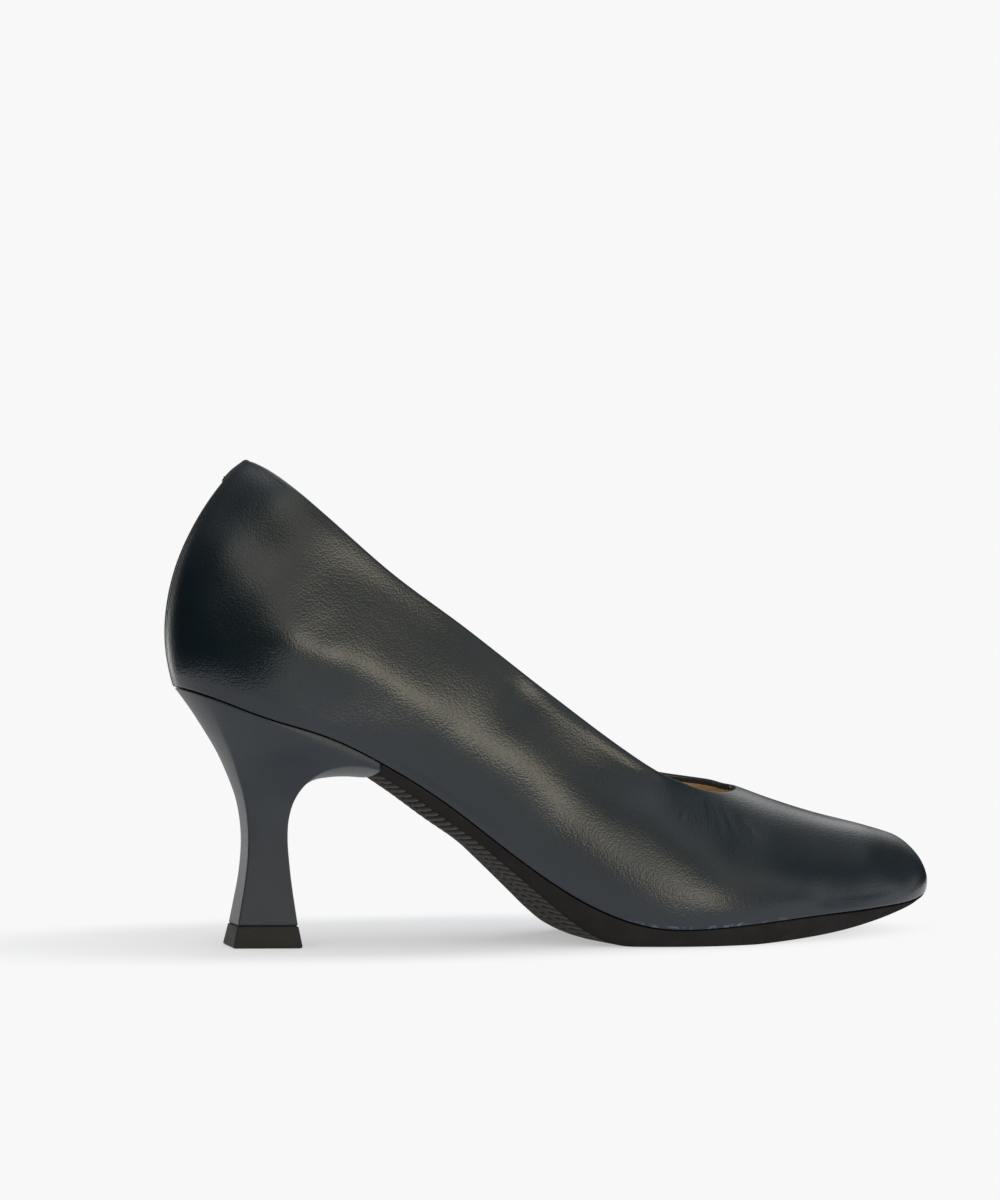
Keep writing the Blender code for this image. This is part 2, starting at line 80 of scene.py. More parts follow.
# Ribs of the last from the back seam to the toe. A rib starts on the feather edge, where upper meets sole,
# and ends on the ridge over the foot. Lean is the outward tilt at the feather in degrees; the two pulls say
# how long a rib keeps its end directions.
RIBS = np.array([
    # feather_x, lateral, medial, feather_z, arch, ridge_x, ridge_z, lean, foot_pull, ridge_pull
    (2.4, 0.0, 0.0, 72.5, 0.0, 55.0, 154.5, 18.5, 0.52, 0.40),
    (6.6, 11.6, 11.6, 71.0, 0.0, 56.0, 154.5, 17.5, 0.50, 0.45),
    (14.0, 18.4, 18.0, 68.0, 0.0, 58.5, 154.5, 15.5, 0.47, 0.58),
    (25.0, 23.0, 22.4, 63.7, 0.0, 62.5, 154.0, 14.0, 0.43, 0.76),
    (40.0, 24.6, 23.6, 59.0, 0.0, 68.0, 151.0, 13.5, 0.40, 0.93),
    (56.0, 23.6, 22.0, 51.5, 1.8, 77.0, 141.0, 15.0, 0.39, 1.06),
    (74.0, 22.2, 19.4, 40.7, 2.0, 90.0, 121.5, 17.0, 0.40, 1.12),
    (93.0, 23.6, 18.6, 26.3, 1.6, 105.0, 97.0, 18.0, 0.42, 1.04),
    (112.0, 29.2, 22.6, 13.0, 1.2, 122.0, 75.5, 15.0, 0.42, 0.90),
    (130.0, 35.6, 29.2, 5.9, 0.4, 138.0, 60.0, 12.0, 0.42, 0.78),
    (147.0, 38.8, 34.6, 5.3, 0.0, 154.0, 49.8, 11.0, 0.42, 0.68),
    (163.0, 37.0, 36.4, 6.3, 0.0, 168.0, 43.3, 11.0, 0.42, 0.62),
    (179.0, 33.0, 34.2, 7.4, 0.0, 181.5, 38.8, 11.0, 0.42, 0.60),
    (194.0, 28.4, 30.4, 8.1, 0.0, 194.5, 34.9, 12.0, 0.42, 0.58),
    (207.5, 22.6, 24.8, 8.8, 0.0, 205.5, 32.1, 13.0, 0.42, 0.57),
    (218.5, 15.8, 17.4, 9.6, 0.0, 213.5, 30.0, 16.0, 0.42, 0.56),
    (226.2, 8.4, 9.4, 11.1, 0.0, 217.6, 28.8, 18.0, 0.42, 0.55),
    (229.0, 0.0, 0.0, 11.9, 0.0, 218.8, 28.4, 19.0, 0.42, 0.55),
])
TOE_RIB = len(RIBS) - 1

# The topline seen from the side, from the back seam to the throat.
TOPLINE = np.array([
    # x, lateral_z, medial_z
    (12.0, 139.6, 139.6), (19.0, 137.9, 137.9), (23.0, 135.3, 135.3), (30.6, 128.0, 128.0),
    (40.3, 119.0, 119.2), (57.1, 104.7, 105.2), (80.4, 88.4, 89.4), (104.0, 70.4, 72.0),
    (127.9, 53.2, 55.6), (137.0, 48.0, 51.0), (143.5, 45.7, 48.8), (150.0, 43.8, 47.1),
    (157.0, 42.6, 45.9), (162.6, 42.7, 45.0), (168.5, 43.9, 43.6), (176.0, 47.0, 47.0),
])

# The underside of the outsole. Edge is how far the lower edge stands in from the feather edge, arch how much
# higher the medial edge lies, and crown how far the middle hangs below the edges.
SOLE = np.array([
    # x, floor_z, edge, arch, crown
    (55.0, 48.9, 3.0, 2.8, 1.9), (65.0, 42.8, 3.2, 2.6, 2.4), (75.0, 36.0, 3.4, 2.0, 2.5),
    (85.0, 29.0, 3.6, 1.4, 1.9), (95.0, 20.6, 3.8, 0.8, 1.0), (105.0, 11.8, 4.0, 0.4, 0.8),
    (110.0, 7.5, 4.0, 0.2, 1.0), (115.0, 3.8, 4.0, 0.0, 1.1), (119.0, 1.6, 3.8, 0.0, 0.9),
    (123.0, 0.4, 3.6, 0.0, 0.4), (127.0, 0.0, 3.5, 0.0, 0.0), (162.0, 0.0, 3.2, 0.0, 0.0),
    (176.0, 0.8, 3.2, 0.0, 0.0), (190.0, 2.2, 3.2, 0.0, 0.0), (203.0, 4.2, 3.2, 0.0, 0.0),
    (216.0, 6.7, 3.2, 0.0, 0.0), (224.0, 8.2, 3.2, 0.0, 0.0), (231.0, 9.2, 3.2, 0.0, 0.0),
])
SOLE_BACK = 55.8

# Rings of the heel from its foot to the seat, and of the top lift. Round blends a trapezoid into the seat's
# outline, crown is how far the front edge hangs in the middle, and arris is the radius of the corners.
HEEL = np.array([
    # back_x, back_z, back_half, front_x, front_z, front_half, round, crown, arris
    (19.5, 6.3, 6.0, 35.6, 6.3, 9.8, 0.00, 0.0, 0.35),
    (20.6, 12.4, 5.5, 34.8, 12.4, 9.0, 0.00, 0.0, 0.35),
    (21.6, 18.0, 5.1, 34.1, 18.0, 8.4, 0.00, 0.0, 0.38),
    (22.3, 24.0, 4.9, 33.5, 24.0, 8.0, 0.01, 0.0, 0.42),
    (22.5, 30.0, 4.9, 33.1, 30.0, 7.9, 0.03, 0.0, 0.48),
    (22.0, 36.0, 5.3, 33.3, 35.6, 8.4, 0.07, 0.1, 0.58),
    (20.8, 41.6, 6.1, 34.6, 40.9, 9.6, 0.15, 0.7, 0.70),
    (18.6, 47.4, 7.4, 37.0, 45.6, 13.0, 0.29, 2.0, 0.80),
    (15.6, 53.6, 8.9, 40.8, 49.0, 17.0, 0.48, 3.1, 0.75),
    (11.6, 60.0, 10.3, 45.6, 50.6, 20.6, 0.69, 3.8, 0.65),
    (7.4, 66.2, 11.6, 50.6, 50.6, 22.6, 0.87, 3.6, 0.65),
    (3.1, 71.9, 12.6, 55.4, 49.6, 23.5, 1.00, 2.9, 0.65),
])
LIFT = np.array([
    # back_x, back_z, back_half, front_x, front_z, front_half, round, crown, arris
    (18.6, 0.0, 6.3, 36.1, 0.0, 10.3, 0.00, 0.0, 0.30),
    (18.2, 0.25, 6.7, 36.6, 0.25, 10.8, 0.00, 0.0, 0.30),
    (18.1, 0.6, 6.8, 36.7, 0.6, 10.9, 0.00, 0.0, 0.30),
    (19.3, 5.8, 6.15, 35.8, 5.8, 9.95, 0.00, 0.0, 0.30),
    (19.4, 5.95, 6.05, 35.7, 5.95, 9.85, 0.00, 0.0, 0.30),
    (19.6, 6.0, 5.85, 35.5, 6.0, 9.65, 0.00, 0.0, 0.30),
    (19.8, 6.27, 5.7, 35.3, 6.27, 9.5, 0.00, 0.0, 0.30),
])

# The tab over the back seam: its depth below the topline, on the medial side.
TAB = np.array([
    # rib, depth
    (0.08, 8.6), (0.2, 9.0), (0.5, 8.6), (1.0, 7.2), (1.5, 5.2), (1.9, 3.2), (2.2, 1.6),
])

# Soft troughs (depth above zero) and ridges (below zero) in the leather, each along a bent path in the side
# view, with its half width. Side is -1 on the lateral and 1 on the medial half.
CREASES = np.array([
    # side, x0, z0, x1, z1, x2, z2, half_width, depth
    # Broad swells and hollows of the lateral side.
    (-1, 28, 100, 58, 80, 92, 56, 16, -1.5),
    (-1, 44, 74, 78, 57, 110, 34, 15, -2.25),
    (-1, 14, 108, 28, 92, 42, 76, 16, -0.5),
    (-1, 8, 100, 20, 84, 40, 68, 14, -0.75),
    (-1, 30, 122, 60, 98, 96, 70, 12, -0.5),
    (-1, 92, 62, 118, 42, 148, 24, 14, 0.75),
    # Folds of the quarter, from the back seam to the waist.
    (-1, 7, 114, 9, 94, 12, 76, 8, 0.5),
    (-1, 10, 128, 20, 114, 32, 100, 8, 0.75),
    (-1, 15, 102, 19, 86, 24, 72, 9, 0.5),
    (-1, 24, 112, 30, 98, 34, 86, 9, -0.25),
    (-1, 17, 93, 32, 83, 48, 73, 8.5, -1),
    (-1, 34, 86, 47, 80, 62, 72, 7.5, -0.75),
    (-1, 32, 114, 60, 93, 90, 71, 9, 1.5),
    (-1, 36, 108, 64, 88, 94, 68, 6, -0.5),
    (-1, 20, 89, 50, 76, 88, 56, 5, -0.25),
    (-1, 20, 85, 30, 79, 42, 73, 5.5, 0.25),
    (-1, 32, 79, 43, 73, 56, 67, 5.5, -0.25),
    (-1, 42, 69, 54, 62, 68, 54, 6, -0.25),
    (-1, 60, 70, 72, 65, 84, 58, 6, 0.25),
    (-1, 64, 44, 92, 22, 118, 10, 8, 1),
    # Folds from the instep to the ball of the foot.
    (-1, 89, 73, 99, 65, 113, 55, 6.5, 0.75),
    (-1, 92, 72, 112, 60, 134, 48, 7, -0.75),
    (-1, 98, 65, 119, 50, 138, 40, 8, 1.25),
    (-1, 118, 48, 134, 32, 144, 20, 8, -0.25),
    (-1, 144, 34, 151, 23, 157, 11, 8, -0.25),
    # Hollows and a swell beside the toe.
    (-1, 154, 27, 170, 19, 186, 13, 9, -0.75),
    (-1, 168, 33, 190, 27, 211, 24, 8, 1),
    (-1, 178, 15, 197, 13, 216, 16, 8, 0.75),
    (-1, 203, 26, 213, 21, 222, 15, 6, 1),
    # Fine pleats beside the throat.
    (-1, 150.9, 42, 150, 37.6, 149.6, 32, 0.6, 0.2),
    (-1, 153, 42, 152.4, 36.1, 152.7, 30, 0.65, 0.2),
    (-1, 155.6, 42, 155.9, 36, 157.8, 29.6, 0.65, 0.2),
    (-1, 159.2, 37.4, 162, 33.2, 165.8, 28.8, 0.9, 0.2),
    (-1, 141.6, 38.2, 140.6, 36.5, 139.4, 35, 0.4, 0.15),
    # Medial side.
    (1, 18, 102, 34, 90, 50, 78, 10, -1),
    (1, 38, 85, 66, 70, 94, 51, 10, -0.75),
    (1, 82, 89, 88, 72, 94, 54, 5.5, 0.5),
    (1, 98, 67, 121, 52, 142, 41, 8, 0.75),
    (1, 144, 35, 151, 24, 157, 12, 8, -0.5),
    (1, 151.8, 45, 152.5, 38.5, 154.5, 32, 0.7, 0.2),
    (1, 156, 44, 157.5, 37.5, 160, 31.5, 0.7, 0.2),
])

# How far the topline stands out from the last, along the shoe; at the back it turns in.
FLARE = np.array([
    # x, outward
    (0.0, -0.9), (12.0, -0.9), (20.0, -0.9), (26.0, -0.6), (34.0, -0.2), (42.0, 0.0), (60.0, 0.0),
    (82.0, 0.0), (94.0, 0.6), (104.0, 0.9), (116.0, 0.95), (127.0, 0.85), (138.0, 0.5), (148.0, 0.0),
    (160.0, 0.0), (230.0, 0.0),
])

# Soft lights round the shoe. Azimuth is counted from the camera towards the right of the picture.
SOFT_LIGHTS = (
    # azimuth, height, focus, strength, colour
    (20.0, -1.0, 45.0, 3.5, "#fff5e0"),
    (20.0, 11.0, 30.0, 0.7, "#fff6e4"),
    (38.0, -3.0, 45.0, 3.9, "#fff3d8"),
    (40.0, -13.0, 30.0, 0.6, "#fff6e4"),
    (80.0, 6.0, 30.0, 0.4, "#ffffff"),
    (100.0, 6.0, 30.0, 1.1, "#ffffff"),
    (0.0, 20.0, 30.0, 1.2, "#fff8ea"),
    (60.0, 20.0, 30.0, 0.8, "#fffcf4"),
    (-40.0, 36.0, 30.0, 0.45, "#fffaf0"),
    (-20.0, 36.0, 30.0, 1.3, "#fff7e6"),
    (45.0, 42.0, 16.0, 0.5, "#ffffff"),
    (-160.0, -4.0, 30.0, 0.5, "#ffffff"),
    (-140.0, -4.0, 30.0, 2.3, "#ffffff"),
    (166.0, 34.0, 30.0, 1.8, "#ffffff"),
    (0.0, 88.0, 6.0, 2.2, "#f6f9ff"),
)


def closed_spline(values, at):
    """Closed cubic spline through evenly numbered rows: second derivatives from a cyclic system, then the
    usual cubic between two rows, read at fractional row numbers."""
    count = len(values)
    system = 4.0 * np.eye(count) + np.eye(count, k=1) + np.eye(count, k=-1)
    system[0, -1] = system[-1, 0] = 1.0
    bend = np.linalg.solve(system, 6.0 * (np.roll(values, -1, 0) - 2.0 * values + np.roll(values, 1, 0)))
    low = np.floor(at).astype(int)
    part = (at - low)[:, None]
    here, after = low % count, (low + 1) % count
    flat = (1.0 - part) * values[here] + part * values[after]
    bent = ((1.0 - part) ** 3 - (1.0 - part)) * bend[here] + (part**3 - part) * bend[after]
    return flat + bent / 6.0


def curve(x, y, at):
    """Cubic through a table of x and y (one or more columns), each slope the mean of the chords beside it."""
    y = y.reshape(len(x), -1)
    chord = np.diff(y, axis=0) / np.diff(x)[:, None]
    slope = np.concatenate([chord[:1], 0.5 * (chord[1:] + chord[:-1]), chord[-1:]])
    at = np.clip(at, x[0], x[-1])
    row = np.clip(np.searchsorted(x, at, side="right") - 1, 0, len(x) - 2)
    width = (x[row + 1] - x[row])[..., None]
    part = (at - x[row])[..., None] / width
    rise = part * part * (3.0 - 2.0 * part)
    bent = part * (1.0 - part) ** 2 * slope[row] + part * part * (part - 1.0) * slope[row + 1]
    value = y[row] * (1.0 - rise) + y[row + 1] * rise + width * bent
    return value[..., 0] if value.shape[-1] == 1 else value


def step(low, high, value):
    """Soft step from 0 at low to 1 at high: three squares less two cubes of the share between them."""
    share = np.clip((value - low) / (high - low), 0.0, 1.0)
    return share * share * (3.0 - 2.0 * share)


def unit(vectors):
    """Vectors divided by their lengths."""
    return vectors / np.linalg.norm(vectors, axis=-1, keepdims=True)


def run_of(points):
    """Length run along each row of points, from zero at its first point."""
    steps = np.linalg.norm(np.diff(points, axis=-2), axis=-1)
    return np.concatenate([np.zeros((*steps.shape[:-1], 1)), steps.cumsum(-1)], -1)


def read_rows(wanted, length, values):
    """Values read at wanted lengths, row by row: a row number times a large step keeps the rows apart."""
    apart = 1000.0 * np.arange(len(length))[:, None]
    found = np.interp((wanted + apart).ravel(), (length + apart).ravel(), values.ravel())
    return found.reshape(wanted.shape)


def crowded(count):
    """Shares from 0 to 1 that crowd together at both ends: half a cosine wave."""
    return 0.5 * (1.0 - np.cos(np.pi * np.linspace(0.0, 1.0, count)))


def numbered(points):
    """Point numbers in the layout of a grid of points."""
    return np.arange(points[..., 0].size).reshape(points.shape[:-1])


def edge_y(edge, x):
    """Place across the shoe of an edge of the bottom, at x."""
    return np.interp(x, edge[:, 0], edge[:, 1])


def loop_columns(at):
    """Feather point, ridge point and shape of the ribs at loop numbers: lateral to the toe, medial back."""
    number = np.arange(len(RIBS))
    toe = TOE_Y * RIBS[:, 0] / RIBS[-1, 0] * np.clip((number - TOE_RIB + 4) / 4.0, 0.0, 1.0)
    lateral = np.column_stack([RIBS[:, 0], -RIBS[:, 1] + toe, RIBS[:, 3], RIBS[:, 5:]])
    medial = np.column_stack([RIBS[:, 0], RIBS[:, 2] + toe, RIBS[:, 3] + RIBS[:, 4], RIBS[:, 5:]])
    return closed_spline(np.vstack([lateral, medial[-2:0:-1]]), at)


def rib_controls(at):
    """Four control points of each rib, a cubic from the feather up and out, then level across the ridge."""
    column = loop_columns(at)
    side = np.abs(at - np.round(at / (2 * TOE_RIB)) * 2 * TOE_RIB)
    within = np.clip(side, 0.4, TOE_RIB - 0.4)
    nearby = loop_columns(within + 0.1) - loop_columns(within - 0.1)
    slope = nearby[:, 4] / nearby[:, 3]
    foot = column[:, :3]
    ridge_y = TOE_Y * np.clip((side - TOE_RIB + 4.0) / 4.0, 0.0, 1.0)
    ridge = np.column_stack([column[:, 3], ridge_y, column[:, 4]])
    plan = ridge[:, :2] - foot[:, :2]
    reach = np.linalg.norm(plan, axis=1)
    plan = plan / reach[:, None]
    lean = np.radians(column[:, 5])
    up = column[:, 6] * (ridge[:, 2] - foot[:, 2])
    rise = np.column_stack([-np.sin(lean)[:, None] * plan, np.cos(lean)])
    level = np.column_stack([plan, slope * plan[:, 0]])
    return foot, foot + up[:, None] * rise, ridge - (column[:, 7] * reach)[:, None] * level, ridge


def rib_points(controls, share):
    """Cubic Bezier points of the ribs at shares of their way from the feather to the ridge."""
    foot, first, second, ridge = (point[:, None] for point in controls)
    share = share[..., None]
    rest = 1.0 - share
    return (rest**3 * foot + 3.0 * rest**2 * share * first
            + 3.0 * rest * share**2 * second + share**3 * ridge)


def topline_z(at, x):
    """Height of the topline at x, on the side of the shoe that each loop number belongs to."""
    medial = np.mod(at, 2 * TOE_RIB) > TOE_RIB
    lateral_z, medial_z = (curve(TOPLINE[:, 0], TOPLINE[:, k], x) for k in (1, 2))
    return np.where(medial, medial_z, lateral_z)


def topline_share(at, controls):
    """Share at which each rib meets the topline, by halving, or its whole length ahead of the throat."""
    low = np.full(len(at), 0.2)
    high = np.ones(len(at))
    whole = controls[3][:, 2] < topline_z(at, controls[3][:, 0])
    for _ in range(44):
        middle = 0.5 * (low + high)
        point = rib_points(controls, middle[:, None])[:, 0]
        above = point[:, 2] > topline_z(at, point[:, 0])
        high = np.where(above, middle, high)
        low = np.where(above, low, middle)
    return np.where(whole, 1.0, high)


def loop_numbers(coarse):
    """Loop numbers of the ribs and the row at the throat. A density of ribs is summed along one side, closer
    at the back seam and at the creases by the throat; near the throat the spacing shrinks as a square."""
    search = np.linspace(8.0, 13.0, 40001)
    ridge = loop_columns(search)[:, 3:5]
    closed = (ridge[:, 1] < topline_z(search, ridge[:, 0])) & (ridge[:, 1] < topline_z(-search, ridge[:, 0]))
    throat = search[np.argmax(closed)]
    fine = np.linspace(0.0, TOE_RIB, 8000)
    density = 11.0 + 20.0 * np.exp(-((fine - 10.2) / 0.9) ** 4) + 80.0 * np.exp(-((fine / 0.12) ** 2))
    total = np.cumsum(density) - density[0]
    count = int(np.mean(density) * TOE_RIB / coarse)
    plain = np.interp(np.linspace(0.0, total[-1], count), total, fine)
    behind = throat - 0.9 * (np.arange(1, 25) / 24.0) ** 2
    ahead = throat + 0.4 * (np.arange(1, 13) / 12.0) ** 2
    plain = plain[(plain < behind[-1] - 0.02) | (plain > ahead[-1] + 0.02)]
    half = np.sort(np.concatenate([plain, behind, [throat], ahead]))
    return np.concatenate([half, 2 * TOE_RIB - half[-2:0:-1]]), int(np.argmin(np.abs(half - throat)))


def shares_at(controls, top, from_foot, from_top, count, even=0.0):
    """Shares of the ribs at fixed distances in millimetres from their two ends, even in between, blended into
    even steps from end to end: arc length is summed along each rib and read back."""
    share = top[:, None] * np.linspace(0.0, 1.0, 401)[None, :]
    length = run_of(rib_points(controls, share))
    whole = length[:, -1:]
    middle = np.linspace(0.0, 1.0, count + 2)[None, 1:-1]
    inner = from_foot[-1] + (whole - from_foot[-1] - from_top[-1]) * middle
    spread = np.ones_like(whole)
    wanted = np.hstack([from_foot[None] * spread, inner, whole - from_top[None, ::-1]])
    wanted = wanted + (whole * np.linspace(0.0, 1.0, wanted.shape[1]) - wanted) * np.reshape(even, (-1, 1))
    return read_rows(wanted, length, share), wanted


def normals_of(points, faces):
    """Unit normals at the points: each face's cross product of its diagonals, summed at its corners."""
    across = points[faces[:, 2]] - points[faces[:, 0]]
    flat = np.cross(across, points[faces[:, 3]] - points[faces[:, 1]])
    total = np.zeros_like(points)
    for corner in range(4):
        np.add.at(total, faces[:, corner], flat)
    return total / np.maximum(np.linalg.norm(total, axis=1), 1e-9)[:, None]


def quads(index, close_rows=False, close_columns=False):
    """Four corners between neighbouring rows and columns of a grid of point numbers."""
    index = np.vstack([index, index[:1]]) if close_rows else index
    index = np.hstack([index, index[:, :1]]) if close_columns else index
    return np.stack([index[:-1, :-1], index[1:, :-1], index[1:, 1:], index[:-1, 1:]], -1).reshape(-1, 4)


def distance_to(points, path):
    """Least distance from a grid of points to a path: to each of its pieces, one grid column at a time."""
    start, along = path[:-1], np.diff(path, axis=0)
    square = np.maximum((along**2).sum(1), 1e-12)
    result = np.empty(points.shape[:2])
    for column in range(points.shape[1]):
        away = points[:, None, column] - start[None]
        part = np.clip((away * along[None]).sum(2) / square[None], 0.0, 1.0)
        result[:, column] = np.sqrt((((away - part[..., None] * along[None]) ** 2).sum(2)).min(1))
    return result


class Last:
    """The upper's surface as a grid of ribs and steps up them, with what its pieces need: points, normals,
    and distances from the feather edge and from the topline. Ahead of the throat the lateral and medial
    ribs share their points on the ridge."""

    def __init__(self, coarse, from_foot, from_top, count):
        self.at, self.throat = loop_numbers(coarse)
        controls = rib_controls(self.at)
        top = topline_share(self.at, controls)
        half = len(self.at) // 2
        row = np.arange(len(self.at))
        side = np.where(row > half, 2 * half - row, row)
        top = np.where(side >= self.throat, 1.0, top)
        even = step(0.0, 3.0, self.at[side] - self.at[self.throat])
        share, self.foot = shares_at(controls, top, np.array(from_foot), np.array(from_top), count, even)
        self.points = rib_points(controls, share)
        self.index = numbered(self.points)
        joined = side >= self.throat
        self.index[:, -1] = np.where(joined, self.index[side, -1], self.index[:, -1])
        self.open = ~joined
        faces = quads(self.index, close_rows=True)
        flat = self.points.reshape(-1, 3)
        normal = normals_of(flat, faces)
        outward = np.sign((normal * (flat - (110.0, 0.0, 45.0))).sum(1).mean())
        self.normals = outward * normal[self.index]
        edge = np.concatenate([row[(row > half) & (side <= self.throat)], row[: self.throat + 1]])
        self.top = distance_to(self.points, self.points[edge, -1])
        self.creased = relief(self.points) * step(0.5, 5.0, self.foot) * step(0.3, 4.0, self.top)
        self.creased += flare(self.points[..., 0], self.top)

    def shell(self, outer, inner, columns):
        """Closed wall between two offsets along the normals: the inner side keeps some of the columns and
        shares the outer side's points along the feather edge and the topline."""
        flat_out = self.points + outer[..., None] * self.normals
        flat_in = (self.points + inner[..., None] * self.normals)[:, columns]
        second = self.index[:, columns] + self.index.size
        second[:, 0] = self.index[:, 0]
        second[:, -1] = np.where(self.open, self.index[:, -1], second[:, -1])
        throat = self.throat
        second[[throat, len(self.at) - throat], -1] = self.index[throat, -1]
        points = np.concatenate([flat_out.reshape(-1, 3), np.zeros_like(flat_out).reshape(-1, 3)])
        points[(self.index[:, columns] + self.index.size).ravel()] = flat_in.reshape(-1, 3)
        faces = np.vstack([quads(self.index, close_rows=True), quads(second, close_rows=True)[:, ::-1]])
        return points, faces


def flare(x, below):
    """How far the wall stands out near the topline: the table's value at x, fading as a bell below it."""
    return curve(FLARE[:, 0], FLARE[:, 1], x) * np.exp(-((below / FLARE_FADE) ** 2))


def rolled(radius, distance):
    """How far a rounded edge has turned away at a distance from it: radius less the circle's height."""
    near = np.clip(radius - distance, 0.0, radius)
    return radius - np.sqrt(radius**2 - near**2)


def relief(points):
    """Creases of the leather: a bell across each bent path of the side view, by the distance to the nearest
    of its pieces, fading in and out softly along it, and a slow unevenness from three crossing waves."""
    total = np.zeros(points.shape[:2])
    share = np.linspace(0.0, 1.0, 25)
    for side, x0, z0, x1, z1, x2, z2, width, depth in CREASES:
        path = np.outer((1.0 - share) ** 2, (x0, z0)) + np.outer(share**2, (x2, z2))
        path += np.outer(2.0 * share * (1.0 - share), (2 * x1 - 0.5 * (x0 + x2), 2 * z1 - 0.5 * (z0 + z2)))
        start, along = path[:-1], np.diff(path, axis=0)
        away = points[..., None, [0, 2]] - start
        part = np.clip((away * along).sum(-1) / (along**2).sum(-1), 0.0, 1.0)
        square = ((away - part[..., None] * along) ** 2).sum(-1)
        nearest = square.argmin(-1)[..., None]
        run = (nearest + np.take_along_axis(part, nearest, -1))[..., 0] / len(along)
        fade = step(0.0, 0.4, run) * step(0.0, 0.4, 1.0 - run)
        bell = np.exp(-square.min(-1) / width**2)
        total -= depth * bell * fade * step(-1.0, 4.0, side * points[..., 1])
    x, y, z = points[..., 0], points[..., 1], points[..., 2]
    total += 0.05 * np.sin(x / 6.1 + z / 9.0 + 0.8) + 0.04 * np.sin(x / 9.7 - z / 5.2 + y / 8.0)
    return total + 0.025 * np.sin(x / 3.7 + z / 4.4 - y / 6.0 + 2.0)


def hex_colour(code):
    """Linear colour of an sRGB hex value."""
    part = np.array([int(code[i:i + 2], 16) for i in (1, 3, 5)]) / 255.0
    linear = np.where(part <= 0.04045, part / 12.92, ((part + 0.055) / 1.055) ** 2.4)
    return (*linear.tolist(), 1.0)


def add(tree, kind, inputs=None, stops=(), out="", **settings):
    """Add a node with its settings and give its first output in use, or the one named. An input given as a
    socket is linked, any other value is set. Stops are places along a colour ramp with hex colours or grey
    levels."""
    node = tree.nodes.new("ShaderNode" + kind)
    for name, value in settings.items():
        setattr(node, name, value)
    for name, value in (inputs or {}).items():
        if isinstance(value, bpy.types.NodeSocket):
            tree.links.new(value, node.inputs[name])
        else:
            node.inputs[name].default_value = value
    while stops and len(node.color_ramp.elements) < len(stops):
        node.color_ramp.elements.new(0.5)
    for number, (position, colour) in enumerate(stops):
        element = node.color_ramp.elements[number]
        element.position = position
        element.color = hex_colour(colour) if isinstance(colour, str) else (colour, colour, colour, 1.0)
    return next(socket for socket in node.outputs if socket.enabled and out in ("", socket.name))


def finish_named(name):
    """A new material with its node tree, its shader and the object's own coordinates in metres."""
    material = bpy.data.materials.new(name)
    material.use_nodes = True
    tree = material.node_tree
    place = add(tree, "TexCoord", out="Object")
    return material, tree, tree.nodes["Principled BSDF"], place


def dress(tree, shader, tone, gloss, height=None, strength=0.0, deep=0.0, invert=False):
    """Link a tone and a roughness to the shader and, where there is a height, the bump that it makes, with
    its depth in metres."""
    tree.links.new(tone, shader.inputs["Base Color"])
    tree.links.new(gloss, shader.inputs["Roughness"])
    if height is not None:
        bump = add(tree, "Bump", {"Height": height, "Strength": strength, "Distance": deep}, invert=invert)
        tree.links.new(bump, shader.inputs["Normal"])


def navy_calf():
    """Smooth navy calf leather, drum dyed and lightly polished: pebbles, drawn at two thirds of a
    millimetre so that they show, break its soft highlights, the dye is a little uneven, the colour is bluer
    and a little lighter beside the sole, the seam and a thin strip along the topline are darker and duller,
    and the lower edge is rubbed pale in places under the ball."""
    material, tree, shader, place = finish_named("navy_calf_leather")
    patch = add(tree, "TexNoise", {"Vector": place, "Scale": 1 / 0.014, "Detail": 3.0})
    pebble = add(tree, "TexVoronoi", {"Vector": place, "Scale": 1 / 0.00065, "Randomness": 0.85},
                 feature="F1")
    fine = add(tree, "TexNoise", {"Vector": place, "Scale": 1 / 0.0009, "Detail": 3.0, "Roughness": 0.6})
    ragged = add(tree, "TexNoise", {"Vector": place, "Scale": 1 / 0.0016, "Detail": 2.0})
    foot, dark = (add(tree, "Attribute", out="Fac", attribute_name=mark) for mark in ("foot", "painted"))
    dye = add(tree, "ValToRGB", {"Fac": patch}, [(0.3, "#0b161b"), (0.5, "#0d191e"), (0.72, "#111a20")])
    # Bluer and a little lighter within 16 mm of the feather edge.
    low = add(tree, "MapRange", {"Value": foot, "From Min": 16.0, "From Max": 0.0})
    blue = add(tree, "Mix", {"Factor": low, "A": dye, "B": hex_colour("#131c27")}, data_type="RGBA")
    lengthways = add(tree, "SeparateXYZ", {"Vector": place}, out="X")
    ahead = add(tree, "MapRange", {"Value": lengthways, "From Min": -0.05, "From Max": 0.11})
    ball = add(tree, "ValToRGB", {"Fac": ahead}, [(0.36, 0.0), (0.42, 1.0), (0.62, 1.0), (0.68, 0.0)])
    torn = add(tree, "ValToRGB", {"Fac": ragged}, [(0.5, 0.0), (0.62, 1.0)])
    rim = add(tree, "MapRange", {"Value": foot, "From Min": 1.1, "From Max": 0.7})
    wear_and_painted_light = add(tree, "Math", {0: ball, 1: torn}, operation="MULTIPLY")
    wear_and_painted_light = add(tree, "Math", {0: wear_and_painted_light, 1: rim}, operation="MULTIPLY")
    pale = add(tree, "Mix", {"Factor": wear_and_painted_light, "A": blue, "B": hex_colour("#43566a")}, data_type="RGBA")
    # Darker and duller where marked: a thin line down the back seam and a strip under a millimetre wide along
    # the topline.
    darkened_strips = add(tree, "Mix", {"Factor": dark, "A": pale, "B": hex_colour("#06090b")}, data_type="RGBA")
    gloss = add(tree, "ValToRGB", {"Fac": fine}, [(0.3, 0.18), (0.7, 0.24)])
    dull = add(tree, "Mix", {"Factor": dark, "A": gloss, "B": (0.8, 0.8, 0.8, 1.0)}, data_type="RGBA")
    dress(tree, shader, darkened_strips, dull, pebble, 0.75, 0.000065, invert=True)
    return material


